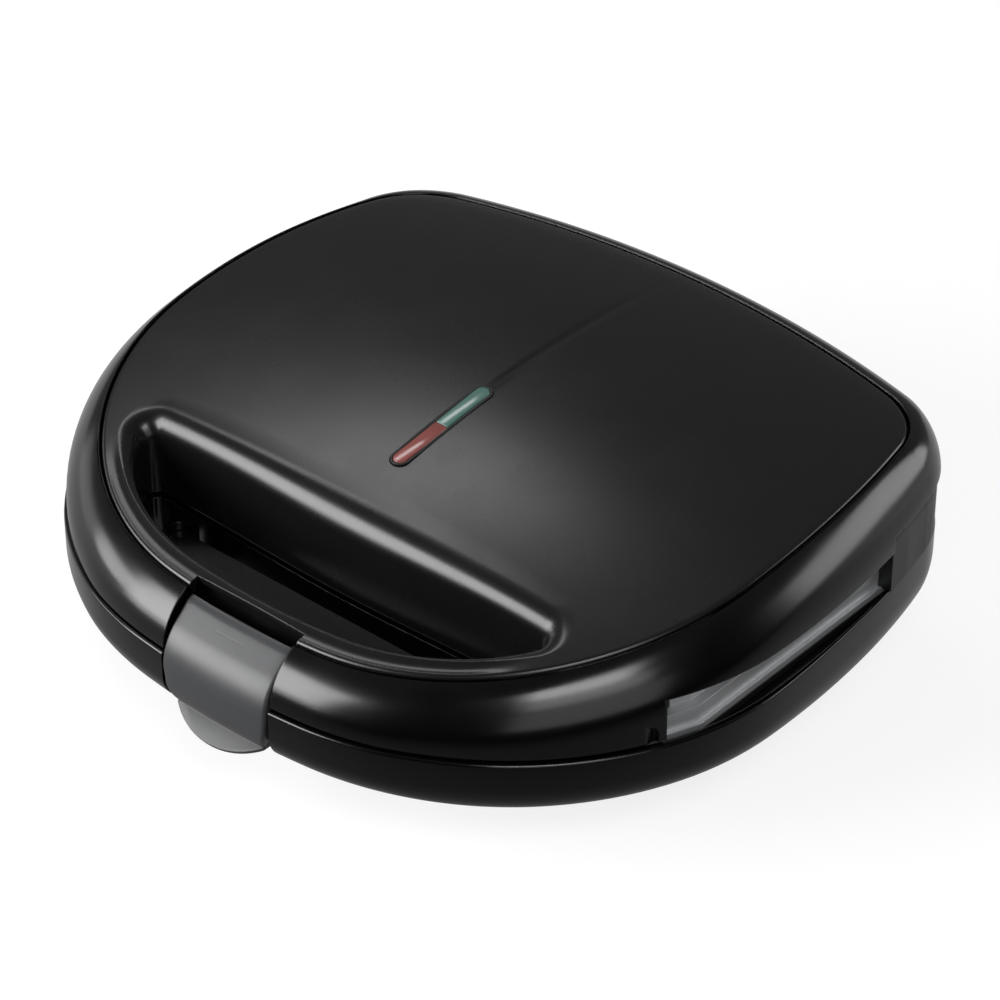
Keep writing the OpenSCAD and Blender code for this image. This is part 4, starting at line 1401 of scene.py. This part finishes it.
@dataclass
class Latch:
    """Latch shell with its hook and thumb lip."""

    shared: Shared
    looks: Looks
    side_room: float = 0.7
    lip_half: float = 15.8
    lip_reach: float = 6.0
    lip_thick: float = 1.5
    lip_fall: float = 38.0
    narrow_from: float = -2.0
    bend_from: float = -4.0
    curl_from: float = -8.0
    crease_z: float = -15.0
    crease_in: float = 2.7
    sag: float = 0.64
    edge_r: float = 0.9
    top_r: float = 5.4
    top_tilt: float = 80.0
    top_in: float = 0.6
    curl_steps: int = 12
    bend_steps: int = 28
    rise_steps: int = 4
    top_steps: int = 8
    edge_steps: int = 6
    hook_reach: float = 8.0
    hook_inset: float = 2.2
    boss_wall: float = 1.5
    spring_w: float = 10.0
    spring_r: float = 2.4

    @property
    def face(self) -> float:
        """Depth of the foremost line of the shell."""
        return -self.shared.plan.front - self.shared.latch_proud

    def path(self) -> list[tuple[Vector, float]]:
        """Skin of the shell, seen from the side.

        Returns:
            Points (y, z) from the foot to the top, each with the tilt of its normal.
        """
        s, p = self.shared, self.shared.plan
        face = self.face
        tilt = math.radians(s.shoulder_tilt)
        fall = self.curl_from - self.crease_z
        curl_r = (self.crease_in**2 + fall**2) / (2 * self.crease_in)
        curl = math.asin(fall / curl_r)
        points = []
        for i in range(self.curl_steps, 0, -1):
            t = curl * i / self.curl_steps
            y = face + curl_r * (1 - math.cos(t))
            points.append((Vector((y, p.parting + self.curl_from - curl_r * math.sin(t))), -t))
        for i in range(self.bend_steps + 1):
            t = tilt * i / self.bend_steps
            y, z = face + s.shoulder_r * (1 - math.cos(t)), p.parting + self.bend_from
            points.append((Vector((y, z + s.shoulder_r * math.sin(t))), t))
        last = math.radians(self.top_tilt)
        end, top = points[-1][0], -p.front + p.seam_front + self.top_in
        run = top - end.x - self.top_r * (math.cos(tilt) - math.cos(last))
        bend = end + Vector((1, 1 / math.tan(tilt))) * run
        shares = [i / self.rise_steps for i in range(1, self.rise_steps + 1)]
        points += [(end.lerp(bend, share), tilt) for share in shares]
        for i in range(1, self.top_steps + 1):
            t = tilt + (last - tilt) * i / self.top_steps
            turn = Vector((math.cos(tilt) - math.cos(t), math.sin(t) - math.sin(tilt)))
            points.append((bend + turn * self.top_r, t))
        return points

    def section(self, place: Vector, tilt: float) -> Ring:
        """Closed section of the shell, rounded at its edges.

        Args:
            place: Point of the path.
            tilt: Tilt of the normal there.

        Returns:
            The ring.
        """
        high = self.shared.plan.parting + self.narrow_from
        share = min(1.0, max(0.0, (high - place.y) / (self.narrow_from - self.crease_z)))
        full = self.shared.latch_w / 2 + self.side_room
        half, r = full - (full - self.lip_half) * share**2, self.edge_r
        outline = [(-half + r + (half - r) * 2 * i / 16, 0.0) for i in range(1, 16)]
        turns = [math.radians(90 * i / self.edge_steps) for i in range(self.edge_steps + 1)]
        edge = [(half - r + r * math.sin(t), r * (1 - math.cos(t))) for t in turns]
        outline += [*edge, (half, self.shared.latch_t), (-half, self.shared.latch_t)]
        outline += [(-x, deep) for x, deep in reversed(edge)]
        out = Vector((-math.cos(tilt), math.sin(tilt)))
        ring = []
        for x, deep in outline:
            q = place - out * deep
            ring.append(Vector((x, q.x + self.sag * (x / full) ** 2, q.y)))
        return ring

    def build(self) -> None:
        """Make every piece."""
        s, p = self.shared, self.shared.plan
        half, axis = s.latch_w / 2, s.latch_axis
        shell = loft([self.section(*place) for place in self.path()], closed=False)
        soften(shell, 0.35, 3, 50)
        inner, low = half - self.hook_inset, p.parting - s.hook_low
        root, tip = self.face + self.crease_in + 0.6, self.face + self.hook_reach
        shell.join(box((-inner, inner), (root, tip), (low, low + s.hook_t)))
        boss = s.latch_pin / 2 + self.boss_wall
        shell.join(x_rod(2 * boss, -half + 0.3, half - 0.3, axis.y, axis.z))
        shell.cut(x_rod(s.latch_pin + 2 * s.pin, -half - 1, half + 1, axis.y, axis.z))
        shell.cut(box((-self.spring_w / 2, self.spring_w / 2),
                      (axis.y - self.spring_r - s.run, axis.y + boss + 1),
                      (axis.z - boss - 1, axis.z + boss + 1)))
        shell.join(self.thumb_lip())
        shell.finish("latch_shell", Body.LATCH, "latch_grey", self.looks.get("latch"), "latch")

    def thumb_lip(self, count: int = 48) -> Solid:
        """Half-moon lip that flares out from the foot of the shell.

        Args:
            count: Steps along its edge.

        Returns:
            The closed solid.
        """
        half, reach, foot = self.lip_half - 0.3, self.lip_reach, 2.2
        r = (half**2 + reach**2) / (2 * reach)
        spread = math.asin(half / r)
        turns = [spread * (2 * i / count - 1) for i in range(count + 1)]
        arc = [Vector((r * math.sin(t), r - reach - r * math.cos(t))) for t in turns]
        outline = arc + [Vector((half, foot)), Vector((-half, foot))]
        lip = soften(prism(outline, -self.lip_thick, 0), 0.45, 4, 40)
        crease = Vector((0, self.face + self.crease_in, self.shared.plan.parting + self.crease_z))
        fall = Matrix.Rotation(math.radians(self.lip_fall), 4, "X")
        return lip.turn(Matrix.Translation(crease) @ fall)


@dataclass
class Base:
    """Lower housing with its grip bar, deck, ears and foot holes."""

    shared: Shared
    looks: Looks
    draw: tuple[float, float, float] = (1.0, 4.0, 6.0)
    rim_round: float = 0.8
    rim_steps: int = 5
    belt_d: float = 8.5
    belt_r: float = 10.0
    belt_turn: float = 57.0
    inset: float = 33.0
    floor_z: float = 6.0
    bar_y: float = 59.0
    bar_half: float = 54.0
    bar_h: float = 17.0
    bar_skirt: float = 3.0
    bar_head_d: float = 7.4
    bar_head: float = 5.0
    boss_r: float = 5.0
    screw_d: float = 4.0
    plate_w: float = 208.0
    plate_d: float = 110.0
    plate_h: float = 14.0
    plate_y: float = 9.0
    plate_r: float = 8.0
    plate_low: float = 2.8
    plate_lip: float = 2.0
    plate_inset: float = 6.0
    plate_room: float = 0.3
    reflector_h: float = 8.0
    sheet: float = 0.8
    ear_inset: float = 0.6
    gland_d: float = 11.0
    gland_l: float = 9.0
    gland_low: float = 11.0
    gland_wall: float = 2.5
    gland_flange: float = 2.5
    post_d: float = 10.0
    post_x: float = 68.0
    post_y: float = 14.0
    well_d: float = 8.0
    well: float = 4.0
    slots: int = 9
    slot_l: float = 22.0
    slot_w: float = 3.0
    slot_pitch: float = 9.0
    foot_x: float = 57.0
    foot_y: Point = (-35.0, 55.0)
    stem_d: float = 5.2
    recess_gap: float = 0.7
    catch_d: float = 6.4
    catch_rise: float = 1.5

    @property
    def rim_z(self) -> float:
        """Height of the rim."""
        return self.shared.plan.parting - self.shared.rim_gap

    @property
    def shelf_z(self) -> float:
        """Height of the top of the grip bar."""
        return self.shared.plan.parting - 1

    @property
    def bar_low(self) -> float:
        """Height of the foot of the grip bar."""
        return self.shared.plan.parting - self.bar_h

    @property
    def bar_ends(self) -> list[Point]:
        """Middles of the two bosses of the grip bar."""
        return [(self.bar_half, -self.bar_y), (-self.bar_half, -self.bar_y)]

    @property
    def plate_z(self) -> float:
        """Height of the top of the lower plate."""
        return self.shared.plan.parting - self.plate_low

    @property
    def deck_z(self) -> float:
        """Height of the deck round the plate."""
        return self.plate_z - self.plate_lip - self.shared.seat

    @property
    def bowl_y(self) -> float:
        """Front of the bowl behind the finger opening, measured forward."""
        return self.shared.plan.grip_y + self.shared.plan.grip_rim_r

    def profile(self, count: int = 18) -> list[Point]:
        """Outer profile below the rim.

        Args:
            count: Steps round the belt.

        Returns:
            Points (inset, height) from the rim to the floor.
        """
        top = self.shared.plan.parting - self.belt_d
        r = self.rim_round
        turns = [math.radians(90 * i / self.rim_steps) for i in range(self.rim_steps + 1)]
        points = [(r * (1 - math.sin(t)), self.rim_z - r * (1 - math.cos(t))) for t in turns]
        for i in range(count + 1):
            t = math.radians(self.belt_turn * i / count)
            points.append((self.belt_r * (1 - math.cos(t)), top - self.belt_r * math.sin(t)))
        return points + [(self.inset, self.floor_z)]

    def bowl(self) -> Solid:
        """Hollow bowl, one wall thick.

        Returns:
            The closed solid.
        """
        p, w = self.shared.plan, self.shared.wall
        top = p.parting - self.belt_d
        profile = self.profile()
        rings = [level(p.outline(i), z) for i, z in reversed(profile)]
        for i, z in profile[self.rim_steps:]:
            rise = 0 if z > top - 0.01 else 1.0 if z > self.floor_z else w
            rings.append(level(p.outline(i + w), (self.rim_z if z > top + 1 else z) + rise))
        return loft(rings, closed=False)

    def inside(self) -> Solid:
        """Everything inside the middle of the bowl's wall.

        Returns:
            The closed solid.
        """
        p, w = self.shared.plan, self.shared.wall
        profile = self.profile(10)[self.rim_steps:]
        return loft([level(p.outline(i + w / 2), z) for i, z in reversed(profile)], closed=False)

    def ahead(self, y: float, z0: float, z1: float) -> Solid:
        """Block of everything in front of depth y."""
        w = self.shared.plan.width
        return box((-w, w), (-w, -y), (z0, z1))

    def opening(self, off: float, z0: float, z1: float) -> Solid:
        """Finger opening of the base, less the grip bar.

        Args:
            off: How far it is widened.
            z0: Lowest height.
            z1: Highest height.

        Returns:
            The closed solid.
        """
        p, end = self.shared.plan, self.bar_half
        made = prism(p.grip(1, -off), z0, z1)
        made.cut(box((-end, end), (-p.front - 9, -self.bar_y - off), (z0 - 1, z1 + 1)))
        d = 2 * (self.boss_r - off)
        return made.cut(*[upright(d, q, z0 - 1, z1 + 1) for q in self.bar_ends])

    def grip_bar(self) -> Solid:
        """Flat top on a skirt, open below.

        Returns:
            The closed solid.
        """
        s, p, w = self.shared, self.shared.plan, self.shared.wall
        low, top, half = self.bar_low, self.shelf_z, s.notch_half + w
        bar = self.ahead(self.bowl_y - w, low, top).cut(self.opening(0, low - 1, top + 1))
        hollow = prism(p.outline(w + self.bar_skirt), low - 1, top - w)
        hollow.keep(self.ahead(self.bowl_y, low - 2, top + 2))
        hollow.cut(self.opening(w, low - 2, top + 2))
        hollow.cut(*[upright(2 * self.boss_r, q, low - 3, low + 27) for q in self.bar_ends])
        hollow.cut(box((-half, half), (-p.front - 1, -p.front + 10), (low - 3, top + 3)))
        return bar.cut(hollow).keep(self.inside())

    def bowl_front(self) -> Solid:
        """Front wall of the bowl, behind the finger opening.

        Returns:
            The closed solid.
        """
        p, w, y = self.shared.plan, self.shared.wall, self.bowl_y
        side = [Vector((p.half_width(i + w / 2, -y), min(z, self.deck_z)))
                for i, z in self.profile(10)[self.rim_steps:]]
        outline = side + [Vector((-q.x, q.y)) for q in reversed(side)]
        stand = Matrix(((1, 0, 0, 0), (0, 0, -1, -y + w), (0, 1, 0, 0), (0, 0, 0, 1)))
        return prism(outline, 0, w).turn(stand)

    def plate_hole(self, off: float, z0: float, z1: float) -> Solid:
        """Room for a plate whose corners follow the body.

        Args:
            off: Play round the plate.
            z0: Lowest height.
            z1: Highest height.

        Returns:
            The closed solid.
        """
        rect = rounded(self.plate_w + 2 * off, self.plate_d + 2 * off, self.plate_r + off,
                       (0, self.plate_y))
        edge = self.shared.plan.outline(self.plate_inset - off)
        return prism(rect, z0, z1).keep(prism(edge, z0 - 1, z1 + 1))

    def ears(self) -> Solid:
        """Raised rear wall of the base.

        Returns:
            The closed solid.
        """
        s, p = self.shared, self.shared.plan
        made = prism(p.outline(self.ear_inset), p.parting - self.belt_d, p.parting + s.ear_h)
        made.cut(prism(p.outline(self.ear_inset + s.wall), 0, 90))
        return made.cut(box((-p.width, p.width), (-200, s.vent_back + s.run), (0, 90)))

    def build(self) -> None:
        """Make every piece."""
        s, p, w = self.shared, self.shared.plan, self.shared.wall
        shell = self.bowl().cut(self.ahead(self.bowl_y, -1, self.bar_low))
        shell.join(self.bowl_front(), self.grip_bar())
        deck = prism(p.outline(w / 2), self.deck_z - w, self.deck_z)
        deck.cut(self.ahead(self.bowl_y, 0, 90), self.plate_hole(self.plate_room, 0, 90))
        shell.join(deck, self.ears(), *s.knuckles(s.base_spans, up=False))
        self.fit_gland(shell)
        self.fit_floor(shell)
        shell.cut(*s.knuckle_room(s.lid_spans), s.hinge_bore())
        self.cut_latch_recess(shell)
        self.cut_grip_wells(shell)
        shell.edit(p.draw_in(*self.draw))
        shell.finish("base_shell", Body.BASE, "body_black", self.looks.get("base"), "lower_housing")

    def fit_gland(self, shell: Solid) -> None:
        """Boss and bore of the cord gland.

        Args:
            shell: The housing.
        """
        p, d, play = self.shared.plan, self.gland_d, 2 * self.shared.seat
        start = Vector((0, p.back + 0.3, p.parting - self.gland_low))
        back = Vector((0, -self.gland_l, 0))
        shell.join(rod(d + 2 * self.gland_wall, start, start + back))
        shell.cut(rod(d + play, start + Vector((0, 1, 0)), start + back * 1.5))
        shell.cut(rod(d + self.gland_flange + play, start + back, start + back * 2.1))

    def fit_floor(self, shell: Solid) -> None:
        """Screw posts, air slots and foot holes of the floor.

        Args:
            shell: The housing.
        """
        floor = self.floor_z
        top = self.plate_z - self.plate_h - self.reflector_h - self.sheet - self.shared.seat
        posts = [(x, self.plate_y + y) for x in (-self.post_x, self.post_x)
                 for y in (-self.post_y, self.post_y)]
        shell.join(*[upright(self.post_d, q, floor, top) for q in posts])
        for q in posts:
            shell.cut(upright(self.screw_d + 2 * self.shared.pin, q, 4, top + 2, 32),
                      upright(self.well_d, q, 0, floor + self.well))
        for i in range(self.slots):
            middle = Vector(((i - (self.slots - 1) / 2) * self.slot_pitch, self.plate_y))
            slot = [v + middle for v in capsule(self.slot_l, self.slot_w, 10)]
            shell.cut(prism(slot, floor - 1, floor + 4))
        for x in (-self.foot_x, self.foot_x):
            for y in self.foot_y:
                shell.cut(upright(self.stem_d, (x, y), 4, 10, 40))

    def cut_latch_recess(self, shell: Solid) -> None:
        """Recess that the latch closes into, with the catch of its hook.

        Args:
            shell: The housing.
        """
        s, p = self.shared, self.shared.plan
        half = (-s.notch_half, s.notch_half)
        back = s.latch_t + self.recess_gap - p.front - s.latch_proud
        hook = p.parting - s.hook_low + s.hook_t
        shell.cut(box(half, (-p.front - 5, back), (0, p.parting + 2)))
        shell.cut(box(half, (back - 0.01, back + self.catch_d), (0, hook + self.catch_rise)))

    def cut_grip_wells(self, shell: Solid) -> None:
        """Screw wells of the grip bar.

        Args:
            shell: The housing.
        """
        for q in self.bar_ends:
            top, low = self.shelf_z, self.bar_low
            shell.cut(upright(self.bar_head_d, q, top - self.bar_head, top + self.bar_head),
                      upright(self.screw_d, q, low - 1, low + 19, 32))


# ---- CAD pieces that keep their shape --------------------------------------------


KEPT = {
    # The lower plate's sides stay black as painted shade, unlike the bare edge of the upper plate.
    "upper_frame": "inner", "lamps": "lamp", "upper_plate": "plate", "lower_plate": "nonstick_and_shade",
    "upper_element": "tube", "lower_element": "tube", "upper_reflector": "sheet",
    "lower_reflector": "sheet", "thermostat": "ceramic", "thermal_fuse": "ceramic",
    "terminal_block": "ceramic", "upper_screws": "zinc", "lower_screws": "zinc",
    # The grip screws take the darkened zinc, which paints the shade of their wells.
    "grip_screws": "well_shade_zinc", "hinge_pin": "zinc", "latch_pin": "zinc", "latch_spring": "zinc",
    "feet": "rubber", "cord_gland": "rubber",
}


def dress_kept(looks: Looks) -> None:
    """Give the CAD pieces that stay their finishes.

    Args:
        looks: The finishes.
    """
    for node, look in KEPT.items():
        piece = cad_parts[node]
        piece.data.materials.clear()
        piece.data.materials.append(looks.get(look))
        log.info("%s keeps its solid", node)


# ---- Studio -------------------------------------------------------------------


@dataclass(frozen=True)
class Softbox:
    """A soft lamp by its direction from the toaster.

    Args:
        name: Name of the lamp.
        bearing: Direction round the toaster, in degrees from the rear towards +X.
        rise: Height over the table, in degrees.
        width: Width in metres.
        height: Height in metres.
        strength: Brightness of its face.
        distance: Distance in metres.
    """

    name: str
    bearing: float
    rise: float
    width: float
    height: float
    strength: float
    distance: float = 1.25


def heading(bearing: float, rise: float) -> Vector:
    """Direction from the toaster.

    Args:
        bearing: Direction round it, in degrees from the rear towards +X.
        rise: Height over the table, in degrees.

    Returns:
        The direction, of length 1.
    """
    a, e = math.radians(bearing), math.radians(rise)
    return Vector((math.sin(a) * math.cos(e), math.cos(a) * math.cos(e), math.sin(e)))


def face_back(name: str, data: bpy.types.ID, at: Vector, way: Vector) -> bpy.types.Object:
    """Place a camera or lamp that looks back along a direction.

    Args:
        name: Name of the object.
        data: The camera or lamp.
        at: Its place, in metres.
        way: The direction.

    Returns:
        The object.
    """
    obj = bpy.data.objects.new(name, data)
    bpy.context.scene.collection.objects.link(obj)
    obj.location = at
    obj.rotation_mode = "QUATERNION"
    obj.rotation_quaternion = (-way).to_track_quat("-Z", "Y")
    return obj


@dataclass
class Studio:
    """Camera, lamps, floor and world."""

    look: tuple[float, float, float] = (11.37, -2.5, 49.85)
    azimuth: float = 40.92
    elevation: float = 35.66
    distance: float = 1100.0
    lens: float = 147.1
    sensor: float = 36.0
    front: Point = (0.656, -0.755)
    floor_half: float = 6.0
    floor_drop: float = 0.0002
    seen_grey: float = 0.30
    seen_glow: float = 0.78
    lit_grey: float = 0.10
    table: float = 0.65
    table_fall: Point = (-0.15, 0.25)
    sky: float = 0.17
    sky_front: float = 0.015
    sky_fall: Point = (-0.2, 0.45)
    lamp_lift: float = 0.05
    softboxes: tuple[Softbox, ...] = (
        Softbox("top softbox", -66, 51, 0.58, 0.20, 5.2),
        Softbox("left softbox", -147, 20, 0.86, 0.66, 10.0),
        Softbox("left skirt", -147, 2, 0.86, 0.16, 5.0),
        Softbox("far left softbox", -119, 12, 0.34, 0.34, 6.0),
        Softbox("right softbox", 127, 46, 0.56, 0.26, 9.0),
        Softbox("right skirt", 124, 34, 0.72, 0.24, 3.0),
        Softbox("right fill", 122, 12, 0.95, 0.66, 1.1),
        Softbox("rear softbox", 36, 15, 0.95, 0.46, 3.4),
        Softbox("side softbox", -98, 8, 0.45, 0.40, 1.1),
    )

    def camera(self) -> None:
        """Place the camera."""
        way = heading(180 - self.azimuth, self.elevation)
        cam = bpy.data.cameras.new("camera")
        cam.lens, cam.sensor_width = self.lens, self.sensor
        cam.clip_start, cam.clip_end = 0.01, 20.0
        at = (Vector(self.look) + way * self.distance) * MM
        bpy.context.scene.camera = face_back("camera", cam, at, way)

    def lamp(self, lamp: Softbox) -> None:
        """Hang a soft rectangular lamp that looks at the toaster.

        Args:
            lamp: The lamp.
        """
        light = bpy.data.lights.new(lamp.name, "AREA")
        light.shape, light.size, light.size_y = "RECTANGLE", lamp.width, lamp.height
        light.energy = lamp.strength * math.pi * lamp.width * lamp.height
        way = heading(lamp.bearing, lamp.rise)
        at = way * lamp.distance + Vector((0, 0, self.lamp_lift))
        face_back(lamp.name, light, at, way).visible_camera = False

    def floor(self) -> None:
        """Lay the floor."""
        bm = bmesh.new()
        bmesh.ops.create_grid(bm, x_segments=1, y_segments=1, size=self.floor_half)
        mesh = bpy.data.meshes.new("floor")
        bm.to_mesh(mesh)
        bm.free()
        mesh.materials.append(self.floor_look())
        obj = bpy.data.objects.new("floor", mesh)
        bpy.context.scene.collection.objects.link(obj)
        obj.location.z = -self.floor_drop

    def floor_look(self) -> bpy.types.Material:
        """Floor that is white with a shadow to the camera and falls off in reflections.

        Returns:
            The material.
        """
        look = bpy.data.materials.new("floor")
        look.use_nodes = True
        look.node_tree.nodes.clear()
        made = Graph(look.node_tree)
        ray = made.add("LightPath").outputs
        seen = made.add("AddShader")
        made.link(made.add("BsdfDiffuse", Color=grey(self.seen_grey)).outputs[0], seen.inputs[0])
        made.link(made.add("Emission", Strength=self.seen_glow).outputs[0], seen.inputs[1])
        reach = made.along(made.add("TexCoord").outputs["Object"], self.front)
        shine = made.add("Emission", Strength=made.spread(reach, self.table, 0.0, *self.table_fall))
        share = made.maths("MAXIMUM", ray["Is Glossy Ray"], ray["Is Transmission Ray"])
        unseen = made.mixed(share, made.add("BsdfDiffuse", Color=grey(self.lit_grey)), shine)
        shown = made.mixed(ray["Is Camera Ray"], unseen, seen)
        made.add("OutputMaterial", Surface=shown.outputs[0])
        return look

    def world(self) -> None:
        """White to the camera; to everything else a dim sky, darker in front."""
        world = bpy.data.worlds.new("studio")
        bpy.context.scene.world = world
        world.use_nodes = True
        made = Graph(world.node_tree)
        reach = made.along(made.add("TexCoord").outputs["Generated"], self.front)
        sky = made.spread(reach, self.sky, self.sky_front, *self.sky_fall)
        strength = made.spread(made.add("LightPath").outputs["Is Camera Ray"], sky, 1.0, 0.0, 1.0)
        shade = world.node_tree.nodes["Background"]
        made.feed(shade.inputs["Strength"], strength)
        made.feed(shade.inputs["Color"], grey(1.0))
        bpy.context.scene.view_settings.view_transform = "Standard"

    def build(self) -> None:
        """Set up the whole studio."""
        self.camera()
        for softbox in self.softboxes:
            self.lamp(softbox)
        self.floor()
        self.world()


def main() -> None:
    """Build the toaster and the studio, and report each piece."""
    logging.basicConfig(level=logging.INFO, format="%(message)s")
    looks, shared = Looks(), Shared()
    Studio().build()
    for part in (Lid(shared, looks), Latch(shared, looks), Base(shared, looks)):
        part.build()
    dress_kept(looks)


if __name__ == "__main__":
    main()
